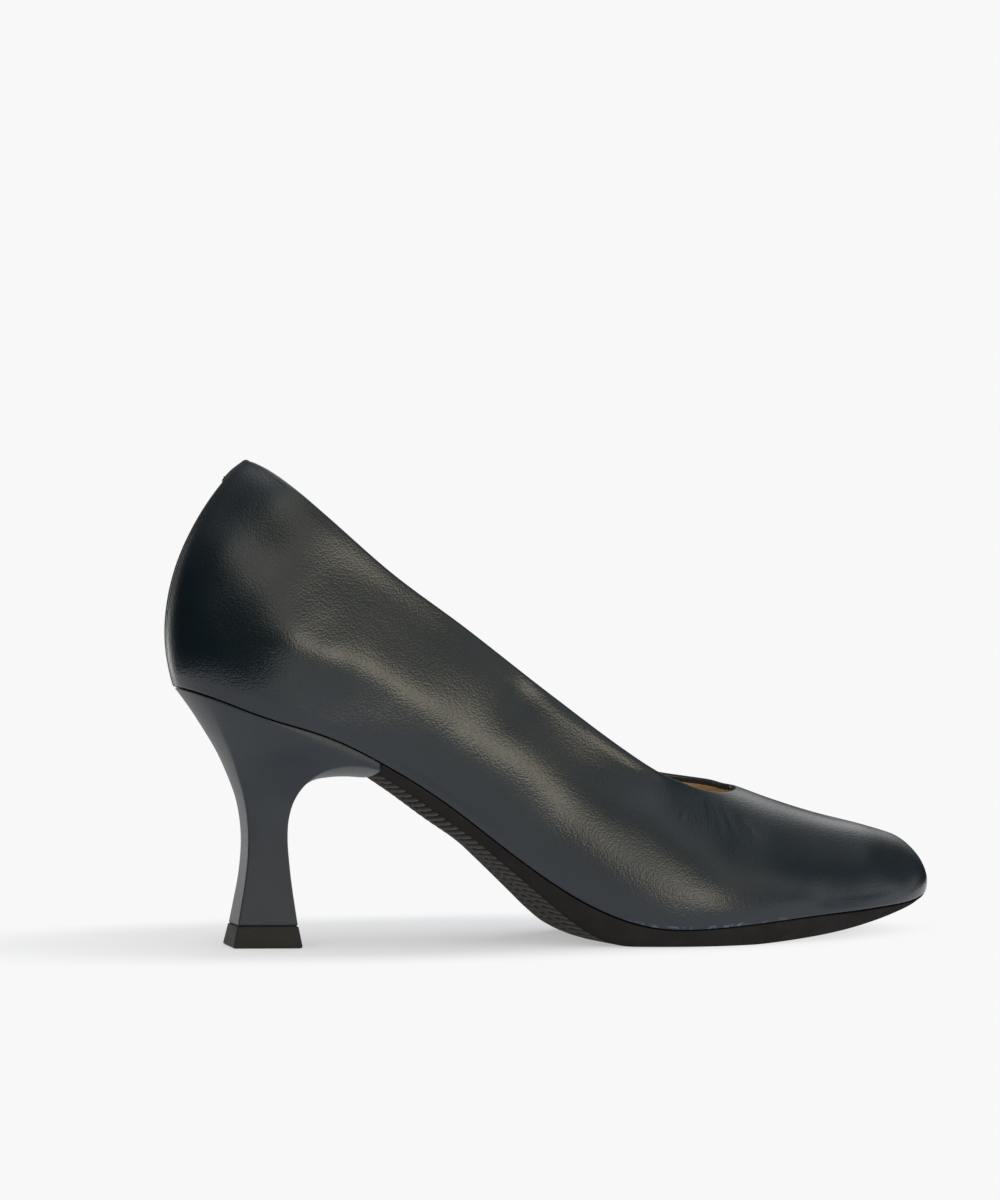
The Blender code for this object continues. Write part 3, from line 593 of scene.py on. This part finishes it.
def heel_cover():
    """Matt navy leather skived thin and stretched over the heel: nearly smooth, with a faint fine grain and
    a slightly cloudy slate tone."""
    material, tree, shader, place = finish_named("navy_heel_cover")
    cloud = add(tree, "TexNoise", {"Vector": place, "Scale": 1 / 0.010, "Detail": 4.0})
    fine = add(tree, "TexNoise", {"Vector": place, "Scale": 1 / 0.0006, "Detail": 2.0})
    tone = add(tree, "ValToRGB", {"Fac": cloud}, [(0.3, "#171f28"), (0.7, "#1c252e")])
    gloss = add(tree, "ValToRGB", {"Fac": fine}, [(0.3, 0.42), (0.7, 0.50)])
    dress(tree, shader, tone, gloss, fine, 0.25, 0.00003)
    return material


def moulded_rubber(name, dark, light, shine):
    """Moulded rubber, dull and faintly mottled: fine grit from the mould scatters its highlights; on the
    tread, painted light makes the ribs a lighter grey and painted shade makes the grooves black."""
    material, tree, shader, place = finish_named(name)
    cloud = add(tree, "TexNoise", {"Vector": place, "Scale": 1 / 0.006, "Detail": 5.0})
    grit = add(tree, "TexNoise", {"Vector": place, "Scale": 1 / 0.0005, "Detail": 2.0})
    groove, rib = (add(tree, "Attribute", out="Fac", attribute_name=mark) for mark in ("groove", "rib"))
    tone = add(tree, "ValToRGB", {"Fac": cloud}, [(0.3, dark), (0.7, light)])
    # Painted light: the tread's rib crests are drawn a lighter grey.
    wear_and_painted_light = add(tree, "Mix", {"Factor": rib, "A": tone, "B": hex_colour("#5a5856")}, data_type="RGBA")
    # Painted shade: the tread's grooves are drawn black and dull.
    deep = add(tree, "Mix", {"Factor": groove, "A": wear_and_painted_light, "B": hex_colour("#030303")}, data_type="RGBA")
    gloss = add(tree, "ValToRGB", {"Fac": grit}, [(0.3, 0.55), (0.7, 0.7)])
    dull = add(tree, "Math", {0: gloss, 1: groove}, operation="MAXIMUM")
    dress(tree, shader, deep, dull, grit, 0.3, 0.00004)
    shader.inputs["Specular IOR Level"].default_value = shine
    return material


def tan_lining(name, dark, light):
    """Undyed sheep leather, tan and matt: a fine wrinkled grain and pale clouds of the hide."""
    material, tree, shader, place = finish_named(name)
    cloud = add(tree, "TexNoise", {"Vector": place, "Scale": 1 / 0.012, "Detail": 4.0})
    pores = add(tree, "TexVoronoi", {"Vector": place, "Scale": 1 / 0.0008}, feature="F1")
    tone = add(tree, "ValToRGB", {"Fac": cloud}, [(0.25, dark), (0.75, light)])
    gloss = add(tree, "ValToRGB", {"Fac": cloud}, [(0.3, 0.62), (0.7, 0.72)])
    dress(tree, shader, tone, gloss, pores, 0.3, 0.00006)
    return material


def sewing_thread():
    """Bonded navy thread: twisted plies show as fine slanting bands."""
    material, tree, shader, place = finish_named("navy_sewing_thread")
    twist = add(tree, "TexWave", {"Vector": place, "Scale": 1 / 0.0012, "Distortion": 1.5}, out="Fac")
    tone = add(tree, "ValToRGB", {"Fac": twist}, [(0.2, "#0d1216"), (0.8, "#232b33")])
    gloss = add(tree, "ValToRGB", {"Fac": twist}, [(0.0, 0.5), (1.0, 0.65)])
    dress(tree, shader, tone, gloss)
    return material


def make(name, points, faces, material, node=None, marks=None):
    """A closed piece: corners that repeat are dropped, unused points left out, and the faces turned so that
    the enclosed volume counts as positive. It rides on the shoe and stands for its solid."""
    points = np.asarray(points, float).reshape(-1, 3)
    fan = points[faces]
    volume = sum((np.cross(fan[:, k], fan[:, k + 1]) * fan[:, 0]).sum() for k in (1, 2))
    faces = faces[:, ::-1] if volume < 0.0 else faces
    kept = faces != np.roll(faces, 1, axis=1)
    whole = kept.sum(1) > 2
    faces, kept = faces[whole], kept[whole]
    used, corners = np.unique(faces[kept], return_inverse=True)
    sides = kept.sum(1)
    mesh = bpy.data.meshes.new(name)
    mesh.vertices.add(len(used))
    mesh.vertices.foreach_set("co", ((points[used] - MIDDLE) * MM).astype(np.float32).ravel())
    mesh.loops.add(len(corners))
    mesh.loops.foreach_set("vertex_index", corners.ravel().astype(np.int32))
    mesh.polygons.add(len(sides))
    mesh.polygons.foreach_set("loop_start", np.concatenate([[0], np.cumsum(sides)[:-1]]).astype(np.int32))
    mesh.update(calc_edges=True)
    mesh.validate()
    mesh.shade_smooth()
    for mark, values in (marks or {}).items():
        layer = mesh.attributes.new(mark, "FLOAT", "POINT")
        layer.data.foreach_set("value", np.asarray(values, float).ravel()[used].astype(np.float32))
    mesh.materials.append(material)
    piece = bpy.data.objects.new(name, mesh)
    bpy.context.scene.collection.objects.link(piece)
    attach(piece, "root")
    if node:
        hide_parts(node)
    return piece


def leather_upper(material):
    """Outer leather: the last's surface with its creases, a groove down the back seam that deepens at each
    stitch, a lower edge turned in, and a topline folded over the lining."""
    last = Last(1.0, (0.0, 0.05, 0.15, 0.32, 0.6, 1.0, 1.6, 2.4),
                (0.0, 0.03, 0.1, 0.22, 0.4, 0.65, 0.9, 1.2, 1.5, 1.65, 1.8, 2.1, 2.7, 3.5), 56)
    away = np.abs(last.points[..., 1])
    back = (last.points[..., 0] < 30.0) * step(7.0, 9.5, last.top)
    stitch = 0.7 + 0.3 * np.cos(2.0 * np.pi * last.points[..., 2] / SEAM_STITCH)
    seam = -0.42 * stitch * np.exp(-((away / 0.30) ** 2)) + 0.10 * np.exp(-(((away - 0.95) / 0.5) ** 2))
    turned = rolled(FOLD, last.top) + rolled(0.3, last.foot)
    outer = last.creased + seam * back - turned
    folded = 1.0 - step(1.5, 1.8, last.top)
    inner = last.creased - LEATHER - (WALL - LEATHER) * folded + turned
    columns = np.r_[0, 3, 5, 7:64:4, 64:last.points.shape[1]]
    points, faces = last.shell(outer, inner, columns)
    # Marked darker and duller: a strip under a millimetre wide along the topline, fading in between 24 and 40
    # mm from the back, and a thin line down the back seam.
    edge = (1.0 - step(0.25, 0.9, last.top)) * step(24.0, 40.0, last.points[..., 0])
    painted = np.maximum(edge, back * np.exp(-((away / 0.38) ** 2)))
    marks = {"foot": np.concatenate([last.foot.ravel(), np.full(last.foot.size, 20.0)]),
             "painted": np.concatenate([painted.ravel(), np.zeros(last.foot.size)])}
    return make("upper_leather", points, faces, material, "upper", marks)


def inside_lining(material):
    """Lining: a thin wall behind the leather, tucked into the fold along the topline."""
    last = Last(1.9, (0.0, 0.3, 1.0), (0.0, 0.4, 0.9, 1.4, 1.55, 1.7, 1.9, 2.6), 26)
    tucked = 1.0 - step(1.45, 1.75, last.top)
    ends = 1.0 - step(0.0, 0.3, np.minimum(last.top, last.foot))
    outer = last.creased - LEATHER - 0.05 + 0.12 * tucked
    inner = last.creased - WALL + 0.05 + 0.75 * tucked
    middle = 0.5 * (outer + inner)
    outer, inner = outer + (middle - outer) * ends, inner + (middle - inner) * ends
    points, faces = last.shell(outer, inner, np.arange(last.points.shape[1]))
    return make("upper_lining", points, faces, material, "upper")


def wall_frame(at):
    """Rib controls, topline shares, outward normal and upward direction of the wall at loop numbers."""
    controls = rib_controls(at)
    top = topline_share(at, controls)
    here = rib_points(controls, top[:, None])[:, 0]
    below = rib_points(controls, top[:, None] - 0.01)[:, 0]
    beside = rib_controls(at + 0.02)
    along = rib_points(beside, topline_share(at + 0.02, beside)[:, None])[:, 0] - here
    up = unit(here - below)
    normal = unit(np.cross(up, along))
    outward = np.sign((normal * (here - (60.0, 0.0, 110.0))).sum(1))
    return controls, top, normal * outward[:, None], up


def tab_surface(at, below):
    """Places and normals on the wall at millimetres below the topline, carried round its fold: a straight
    run down the outside, half a circle over the edge, and a straight run down the inside."""
    controls, top, normal, up = wall_frame(at)
    turn = np.clip((FOLD - below) / FOLD, 0.0, np.pi)
    depth = np.where(below > FOLD, below, np.where(turn < np.pi, FOLD - FOLD * np.sin(turn),
                                                   FOLD + (FOLD - below) - np.pi * FOLD))
    downward = shares_at(controls, top, np.zeros(1), np.zeros(1), 399)[0][:, ::-1]
    length = run_of(rib_points(controls, downward))
    points = rib_points(controls, read_rows(depth, length, downward))
    facing = np.cos(turn)[..., None] * normal[:, None] + np.sin(turn)[..., None] * up[:, None]
    out = FOLD * (np.cos(turn) - 1.0) + flare(points[..., 0], depth)
    return points + out[..., None] * normal[:, None], facing


def back_tab(material):
    """Tab over the back seam: a patch of the wall's surface from inside the collar, over its edge and down
    to the tab's depth, raised to its thickness and rounded down at all four edges."""
    number = TAB[0, 0] + (TAB[-1, 0] - TAB[0, 0]) * crowded(61)
    depth = curve(TAB[:, 0], TAB[:, 1], number)[:, None]
    below = TAB_INSIDE + (depth - TAB_INSIDE) * crowded(49)[None, :]
    points, facing = tab_surface(-number, below)
    along = run_of(points[:, 24])[:, None]
    edge = np.minimum(np.minimum(along, along[-1] - along), np.minimum(below - TAB_INSIDE, depth - below))
    raised = TAB_THICK * (1.0 - rolled(0.5, edge) / 0.5)
    index = numbered(points)
    second = index + index.size
    second[[0, -1]], second[:, [0, -1]] = index[[0, -1]], index[:, [0, -1]]
    outer = points + (raised - TAB_SUNK)[..., None] * facing
    inner = points - TAB_SUNK * facing
    faces = np.vstack([quads(index), quads(second)[:, ::-1]])
    marks = {"foot": np.full(2 * index.size, 20.0), "painted": np.zeros(2 * index.size)}
    points = np.stack([outer, inner])
    return make("back_tab_leather", points, faces, material, "back_tab", marks)


def tab_stitches(material):
    """Stitches along the tab's lower edge: one small spindle for each step, drawn between two needle holes,
    half sunk in the leather."""
    fine = np.linspace(TAB[0, 0] + 0.06, TAB[-1, 0] - 0.06, 400)
    below = curve(TAB[:, 0], TAB[:, 1], fine) - TAB_STITCH_INSET
    points, facing = (values[:, 0] for values in tab_surface(-fine, below[:, None]))
    points = points + 0.43 * facing
    length = run_of(points)
    share = np.linspace(0.0, 1.0, 9)
    first = (np.arange(int(length[-1] / TAB_STITCH)) + 0.12)[:, None] * TAB_STITCH
    where = first + TAB_STITCH_LONG * share[None, :]
    path, rise = (np.stack([np.interp(where, length, values[:, k]) for k in range(3)], -1)
                  for values in (points, facing))
    across = unit(np.cross(np.gradient(path, axis=1), rise))
    bow = np.sin(np.pi * share)
    turn = 2.0 * np.pi * np.arange(8) / 8.0
    radius = (0.24 * bow**0.4)[None, :, None, None]
    ring = np.cos(turn)[:, None] * across[:, :, None] + np.sin(turn)[:, None] * rise[:, :, None]
    solid = path[:, :, None] + (0.16 * bow - 0.06)[None, :, None, None] * rise[:, :, None] + radius * ring
    index = numbered(solid)
    index[:, 0] = index[:, 0, :1]
    index[:, -1] = index[:, -1, :1]
    faces = np.vstack([quads(stitch, close_columns=True) for stitch in index])
    return make("tab_stitches", solid, faces, material)


def outline(inset):
    """Lateral and medial edge of the bottom: the feather edge moved in along its plan normal by an inset that
    is one number or a table of x and inset."""
    at = np.linspace(0.0, 2 * TOE_RIB, 2400, endpoint=False)
    point = loop_columns(at)[:, :2]
    along = unit(np.roll(point, -1, 0) - np.roll(point, 1, 0))
    amount = inset if np.isscalar(inset) else np.interp(point[:, 0], inset[:, 0], inset[:, 1])
    moved = point + np.reshape(amount, (-1, 1)) * np.column_stack([-along[:, 1], along[:, 0]])
    half = len(at) // 2
    return moved[: half + 1], np.vstack([moved[half:], moved[:1]])[::-1]


def bottom_z(x, y):
    """Height of the last's bottom: straight across from the lateral to the medial feather edge."""
    at = np.linspace(0.0, TOE_RIB, 900)
    lateral, medial = loop_columns(at), loop_columns(2 * TOE_RIB - at)
    near, low = (np.interp(x, lateral[:, 0], lateral[:, k]) for k in (1, 2))
    far, high = (np.interp(x, medial[:, 0], medial[:, k]) for k in (1, 2))
    return low + (high - low) * np.clip((y - near) / np.maximum(far - near, 1.0), 0.0, 1.0)


def sock(material):
    """Insole sock: a strip across the last's bottom at each station, its edges rolled down, closed
    underneath; stations crowd together at both rounded ends."""
    near, far = outline(WALL + 0.5)
    x = near[0, 0] + (near[-1, 0] - near[0, 0]) * crowded(181)
    lateral, medial = edge_y(near, x)[:, None], edge_y(far, x)[:, None]
    across = crowded(41)
    y = lateral + (medial - lateral) * across[None, :]
    deep = np.broadcast_to(x[:, None], y.shape)
    floor = bottom_z(deep, y)
    steep = np.sqrt(1.0 + (bottom_z(deep + 0.5, y) - bottom_z(deep - 0.5, y)) ** 2)
    ends = np.minimum(x - x[0], x[-1] - x)[:, None]
    edge = np.minimum(np.minimum(y - lateral, medial - y), ends + 0.4 * np.abs(across - 0.5))
    top = np.stack([deep, y, floor + (GAP + SOCK_THICK - rolled(0.8, np.maximum(edge, 0.0))) * steep], -1)
    low = np.stack([deep, y, floor + (GAP + 0.1) * steep], -1)
    index = numbered(top)
    ring = np.hstack([index, (index + index.size)[:, ::-1]])
    ring[0], ring[-1] = ring[0, 0], ring[-1, 0]
    faces = quads(ring, close_columns=True)
    return make("insole_sock", np.stack([top, low]), faces, material, "insole")


def tread(run, across, inside):
    """Shares of full groove depth and of rib under the sole: ribs across it at even steps of its length,
    leaning back from the lateral edge and then waving as a sine, each groove a flat-bottomed slot that ends
    short of the edge."""
    wave = 0.6 * np.sin(2.0 * np.pi * (across - 5.0) / 11.0) * step(8.0, 13.0, across)
    slot = 0.5 - 0.5 * np.cos(2.0 * np.pi * (run + 0.1 * across + wave) / RIB_PITCH)
    groove = step(0.18, 0.4, slot)
    field = step(0.1, 0.5, inside)
    return groove * field, (1.0 - groove) * field


def rubber_sole(material):
    """Outsole: at each station one closed ring, from the middle of its top out to the feather edge, down the
    side with a shallow bead, round the lower edge and across the ribbed underside. The stations crowd
    together at the toe, where both halves of the last ring meet."""
    near, far = outline(0.2)
    low_near, low_far = outline(SOLE[:, [0, 2]])
    share = np.linspace(0.0, 1.0, 881)
    share = np.where(share < 0.8, share, 0.8 + 0.2 * np.sin(0.5 * np.pi * (share - 0.8) / 0.2))
    share = share / share[-1]
    top_x, low_x = (SOLE_BACK + (edge[-1, 0] - SOLE_BACK) * share for edge in (near, low_near))
    floor, _, arch, crown = curve(SOLE[:, 0], SOLE[:, 1:], low_x).T
    lateral_y = edge_y(low_near, low_x)
    middle = 0.5 * (lateral_y + edge_y(low_far, low_x))
    run = run_of(np.column_stack([low_x, floor]))[:, None]
    inward = np.linspace(0.0, 1.0, 4)[None, :-1]
    fall = np.array([0.0, 0.03, 0.08, 0.14, 0.2, 0.26, 0.4, 0.6, 0.78, 0.9, 0.96, 1.0])[None, :]
    bead = 0.22 * np.exp(-(((fall - 0.2) / 0.06) ** 2)) - 0.35 * rolled(1.0, np.minimum(fall / 0.1, 1.0))
    close = np.linspace(1.0, 0.0, 37)[None, 1:]
    plain = np.zeros((len(run), inward.size + fall.size))
    halves, grooves, ribs = [], [], []
    for medial, top_side, low_side in ((0.0, near, low_near), (1.0, far, low_far)):
        top_y, low_y = edge_y(top_side, top_x), edge_y(low_side, low_x)
        top_z = bottom_z(top_x, top_y) - GAP
        low_z = np.maximum(floor + medial * arch, 0.0)
        roof_y = middle[:, None] + (top_y - middle)[:, None] * inward
        roof_x = np.broadcast_to(top_x[:, None], roof_y.shape)
        roof = np.stack([roof_x, roof_y, bottom_z(roof_x, roof_y) - GAP], -1)
        tall = np.maximum(top_z - low_z, 0.0)[:, None]
        tuck = rolled(0.75, np.maximum((1.0 - fall) * tall, 0.0)) * np.minimum(1.0, tall / 2.0)
        outward = np.sign(low_y - middle)[:, None]
        outward = np.where(outward == 0.0, medial * 2.0 - 1.0, outward)
        wide = np.clip(np.abs(low_y - middle)[:, None] / 6.0, 0.0, 1.0)
        band_x = top_x[:, None] + (low_x - top_x)[:, None] * fall + (bead - tuck) * (1.0 - wide)
        band_y = top_y[:, None] + (low_y - top_y)[:, None] * fall + (bead - tuck) * outward * wide
        band = np.stack([band_x, band_y, top_z[:, None] - tall * fall], -1)
        rim_x, rim_y = band_x[:, -1:], band_y[:, -1:]
        under_x = low_x[:, None] + (rim_x - low_x[:, None]) * close
        under_y = middle[:, None] + (rim_y - middle[:, None]) * close
        bowed = arch[:, None] * (0.5 + (medial - 0.5) * close) - crown[:, None] * (1.0 - close**2)
        inside = np.minimum(np.abs(rim_y - under_y), (low_x[-1] - low_x)[:, None] * 0.6)
        inside = np.minimum(inside, (low_x - SOLE_BACK)[:, None] + 0.3)
        groove, rib = tread(run, under_y - lateral_y[:, None], inside)
        under_z = np.maximum(floor[:, None] + bowed, 0.0) + GROOVE_DEPTH * groove
        grooves.append(np.hstack([plain, groove]))
        ribs.append(np.hstack([plain, rib]))
        halves.append(np.concatenate([roof, band, np.stack([under_x, under_y, under_z], -1)], axis=1))
    ring, groove, rib = (np.concatenate([one, two[:, -2:0:-1]], axis=1)
                         for one, two in (halves, grooves, ribs))
    count = ring.shape[1]
    index = numbered(ring)
    mirror = (count - np.arange(count)) % count
    index[-1] = index[-1, np.minimum(np.arange(count), mirror)]
    side, start, half = np.arange(1, count // 2), index[0], count // 2
    cap = np.stack([start[side[:-1]], start[side[1:]], start[mirror[side[1:]]], start[mirror[side[:-1]]]], -1)
    tip = np.array([start[[0, 1, -1, -1]], start[[half - 1, half, half, half + 1]]])
    faces = np.vstack([quads(index, close_columns=True), cap, tip])
    # The groove mark draws painted shade in the grooves, and the rib mark draws painted light on the rib
    # crests.
    marks = {"groove": groove, "rib": rib}
    return make("outsole_rubber", ring, faces, material, "outsole", marks)


def heel_rings(rows):
    """Closed rings of a heel: a trapezoid blended into the seat's outline, read evenly along its length and
    smoothed by damping its fast waves, which rounds the corners to each row's arris."""
    back_x, back_z, back_half, front_x, front_z, front_half, blend, crown, arris = rows.T[..., None]
    back, side, front = (np.linspace(0.0, 1.0, steps + 1)[None, first:]
                         for steps, first in ((12, 0), (36, 1), (12, 1)))
    near, far = outline(0.15)
    seat_back, seat_front, corner_half = near[0, 0], HEEL[-1, 3], HEEL[-1, 2]
    corner = np.interp(corner_half, -near[:400, 1], near[:400, 0])
    seat_x = np.hstack([np.interp(corner_half * back, -near[:400, 1], near[:400, 0]),
                        corner + (seat_front - corner) * side, np.full(front.shape, seat_front)])
    halves = []
    for edge in (near, far):
        width = np.interp(seat_x, edge[:, 0], np.abs(edge[:, 1]))
        width[:, :13] = corner_half * back
        width[:, -12:] = width[:, -13:-12] * (1.0 - front)
        flat_x = np.hstack([back_x + 0.0 * back, back_x + (front_x - back_x) * side, front_x + 0.0 * front])
        flat_y = np.hstack([back_half * back, back_half + (front_half - back_half) * side,
                            front_half * (1.0 - front)])
        round_x = back_x + (front_x - back_x) * (seat_x - seat_back) / (seat_front - seat_back)
        x = flat_x + (round_x - flat_x) * blend
        y = flat_y + (width * front_half / HEEL[-1, 5] - flat_y) * blend
        z = back_z + (front_z - back_z) * (x - back_x) / (front_x - back_x)
        hang = 1.0 - (y / y[:, -13:-12]) ** 2
        z[:, -12:] -= (crown * hang)[:, -12:]
        halves.append(np.stack([x, y, z], -1))
    ring = np.concatenate([halves[0] * (1.0, -1.0, 1.0), halves[1][:, -2:0:-1]], axis=1)
    loop = np.concatenate([ring, ring[:, :1]], axis=1)
    length = run_of(loop)
    wanted = length[:, -1:] * np.linspace(0.0, 1.0, HEEL_POINTS, endpoint=False)[None]
    even = np.stack([read_rows(wanted, length, loop[..., k]) for k in range(3)], -1)
    wave = np.fft.rfftfreq(HEEL_POINTS, 1.0 / HEEL_POINTS)[None, :, None]
    damp = np.exp(-0.5 * (2.0 * np.pi * wave * (0.6 * arris / length[:, -1:])[..., None]) ** 2)
    return np.fft.irfft(np.fft.rfft(even, axis=1) * damp, HEEL_POINTS, axis=1)


def tower(name, rings, material, node):
    """Rings stacked into a solid, its foot and its top drawn in to a point at their middles."""
    foot, top = rings[0].mean(0), rings[-1].mean(0)
    shrink = np.array([0.97, 0.6, 0.0])[:, None, None]
    low = foot + (rings[0] - foot) * shrink[::-1]
    high = top + (rings[-1] - top) * shrink
    solid = np.concatenate([low, rings, high])
    index = numbered(solid)
    index[0], index[-1] = index[0, 0], index[-1, 0]
    return make(name, solid, quads(index, close_columns=True), material, node)


def covered_heel(material):
    """Heel: the table's rows joined by smooth curves into many rings, kept under the last's bottom, then a
    rounded upper edge and the seat."""
    number = np.arange(len(HEEL), dtype=float)
    rings = heel_rings(curve(number, HEEL, np.linspace(0.0, number[-1], 121)))
    ceiling = bottom_z(rings[..., 0], rings[..., 1]) - GAP
    rings[..., 2] = np.minimum(rings[..., 2], ceiling - 0.3)
    seat = rings[-1]
    middle = seat.mean(0)
    inward = unit(middle - seat) * (1.0, 1.0, 0.0)
    rim = [seat + inward * inset for inset in (0.0, 0.03, 0.12, 0.4)]
    for ring, drop in zip(rim, (0.18, 0.09, 0.02, 0.0)):
        ring[:, 2] = bottom_z(ring[:, 0], ring[:, 1]) - GAP - drop
    centre = rings[:1].mean(1, keepdims=True)
    foot = centre + (rings[:1] - centre) * (0.985, 0.97, 1.0)
    rings[0, :, 2] += 0.15
    inner = middle + (rim[-1] - middle) * 0.5
    inner[:, 2] = bottom_z(inner[:, 0], inner[:, 1]) - GAP
    solid = np.concatenate([foot, rings, np.array(rim), inner[None]])
    return tower("heel_cover", solid, material, "heel")


def rubber_lift(material):
    """Top lift: its table's rings, with straight sides and small rounded edges."""
    return tower("top_lift_rubber", heel_rings(LIFT), material, "top_lift")


def studio():
    """Pale table that melts into the white of the room, and soft lights all round it. The table glows as
    painted
    light: under the shoe it is partly lit by the lights and partly glowing, and further out it glows plain
    white, soonest off the lateral side and beyond the toe, so that shadows stay under and behind the shoe.
    Each light is a bell over directions: its strength times the exponential of its focus times one less than
    the cosine of the angle from its middle. The camera itself sees plain white behind the table."""
    turn = 2.0 * np.pi * np.arange(96) / 96.0
    radius = np.array([0.0, 0.06, 0.12, 0.18, 0.24, 0.30, 0.36])[:, None]
    points = np.stack([radius * np.cos(turn), radius * np.sin(turn), np.zeros((7, 96))], -1)
    mesh = bpy.data.meshes.new("floor")
    faces = quads(numbered(points), close_columns=True)
    mesh.from_pydata(points.reshape(-1, 3).tolist(), [], faces.tolist())
    mesh.validate()
    floor = bpy.data.objects.new("floor", mesh)
    bpy.context.scene.collection.objects.link(floor)
    material, tree, shader, place = finish_named("pale_table_painted_glow")
    fibre = add(tree, "TexNoise", {"Vector": place, "Scale": 1 / 0.004, "Detail": 2.0})
    tone = add(tree, "ValToRGB", {"Fac": fibre}, [(0.3, "#f6f6f6"), (0.7, "#f8f8f8")])
    tree.links.new(tone, shader.inputs["Base Color"])
    shader.inputs["Roughness"].default_value = 0.9
    shader.inputs["Specular IOR Level"].default_value = 0.0
    # Painted light: the share of glow is 0.45 near the shoe and rises to all glow further out. It is centred
    # 40 mm towards the heel and 15 mm towards the medial side.
    shifted = add(tree, "VectorMath", {0: place, 1: (1.0, 2.2, 1.0), 2: (0.04, -0.032, 0.0)},
                  operation="MULTIPLY_ADD")
    far = add(tree, "VectorMath", {0: shifted}, operation="LENGTH")
    share = add(tree, "MapRange", {"Value": far, "From Min": 0.09, "From Max": 0.17, "To Min": 0.45,
                                   "To Max": 1.0}, interpolation_type="SMOOTHSTEP")
    glow = add(tree, "Emission", {"Color": WHITE, "Strength": 1.0})
    blend = add(tree, "MixShader", {0: share, 1: shader.outputs["BSDF"], 2: glow})
    tree.links.new(blend, tree.nodes["Material Output"].inputs["Surface"])
    mesh.materials.append(material)

    world = bpy.data.worlds.new("white_room")
    bpy.context.scene.world = world
    world.use_nodes = True
    tree = world.node_tree
    look = add(tree, "TexCoord", out="Generated")
    total = (0.01, 0.01, 0.01)
    for azimuth, height, focus, strength, colour in SOFT_LIGHTS:
        round_about, up = math.radians(azimuth - CAMERA_TURN), math.radians(height)
        toward = (math.sin(round_about) * math.cos(up), -math.cos(round_about) * math.cos(up), math.sin(up))
        near = add(tree, "VectorMath", {0: look, 1: toward}, operation="DOT_PRODUCT")
        bell = add(tree, "Math", {0: near, 1: focus, 2: -focus}, operation="MULTIPLY_ADD")
        bell = add(tree, "Math", {0: bell}, operation="EXPONENT")
        tint = tuple(strength * part for part in hex_colour(colour)[:3])
        total = add(tree, "VectorMath", {0: bell, 1: tint, 2: total}, operation="MULTIPLY_ADD")
    room = tree.nodes["Background"]
    tree.links.new(total, room.inputs["Color"])
    white = add(tree, "Background", {"Color": WHITE})
    seen = add(tree, "LightPath", out="Is Camera Ray")
    both = add(tree, "MixShader", {0: seen, 1: room.outputs["Background"], 2: white})
    tree.links.new(both, tree.nodes["World Output"].inputs["Surface"])


def photo_camera():
    """Camera nearly level with the middle of the shoe, turned towards its back and rolled a little; its lens
    comes from the pixels to one radian and the height of the frame in pixels."""
    turn, roll = math.radians(CAMERA_TURN), math.radians(CAMERA_ROLL)
    ahead = np.array([math.sin(turn), math.cos(turn), 0.0])
    level = np.array([math.cos(turn), -math.sin(turn), 0.0])
    upright = np.array([0.0, 0.0, 1.0])
    right = level * math.cos(roll) + upright * math.sin(roll)
    up = upright * math.cos(roll) - level * math.sin(roll)
    place = (CAMERA_PLACE - MIDDLE) * MM
    lens = bpy.data.cameras.new("photo_camera")
    lens.sensor_fit = "VERTICAL"
    lens.sensor_height = SENSOR
    lens.lens = PIXELS_PER_RADIAN * SENSOR / FRAME_PIXELS
    lens.shift_y = RAISED_PIXELS / FRAME_PIXELS
    lens.clip_start, lens.clip_end = 0.05, 200.0
    camera = bpy.data.objects.new("photo_camera", lens)
    columns = np.column_stack([right, up, -ahead, place])
    camera.matrix_world = Matrix([*columns.tolist(), [0.0, 0.0, 0.0, 1.0]])
    bpy.context.scene.collection.objects.link(camera)
    bpy.context.scene.camera = camera


def build():
    """Every piece of the shoe with its finish, then the room and the camera."""
    calf = navy_calf()
    leather_upper(calf)
    inside_lining(tan_lining("tan_lining_leather", "#d6bf9f", "#e4d1b4"))
    back_tab(calf)
    tab_stitches(sewing_thread())
    sock(tan_lining("tan_sock_leather", "#c9ad86", "#d9c09c"))
    rubber_sole(moulded_rubber("charcoal_moulded_rubber", "#262525", "#2c2b2b", 0.0))
    covered_heel(heel_cover())
    rubber_lift(moulded_rubber("black_lift_rubber", "#191714", "#211e1a", 0.32))
    studio()
    photo_camera()
    bpy.context.scene.view_settings.view_transform = "Standard"


build()
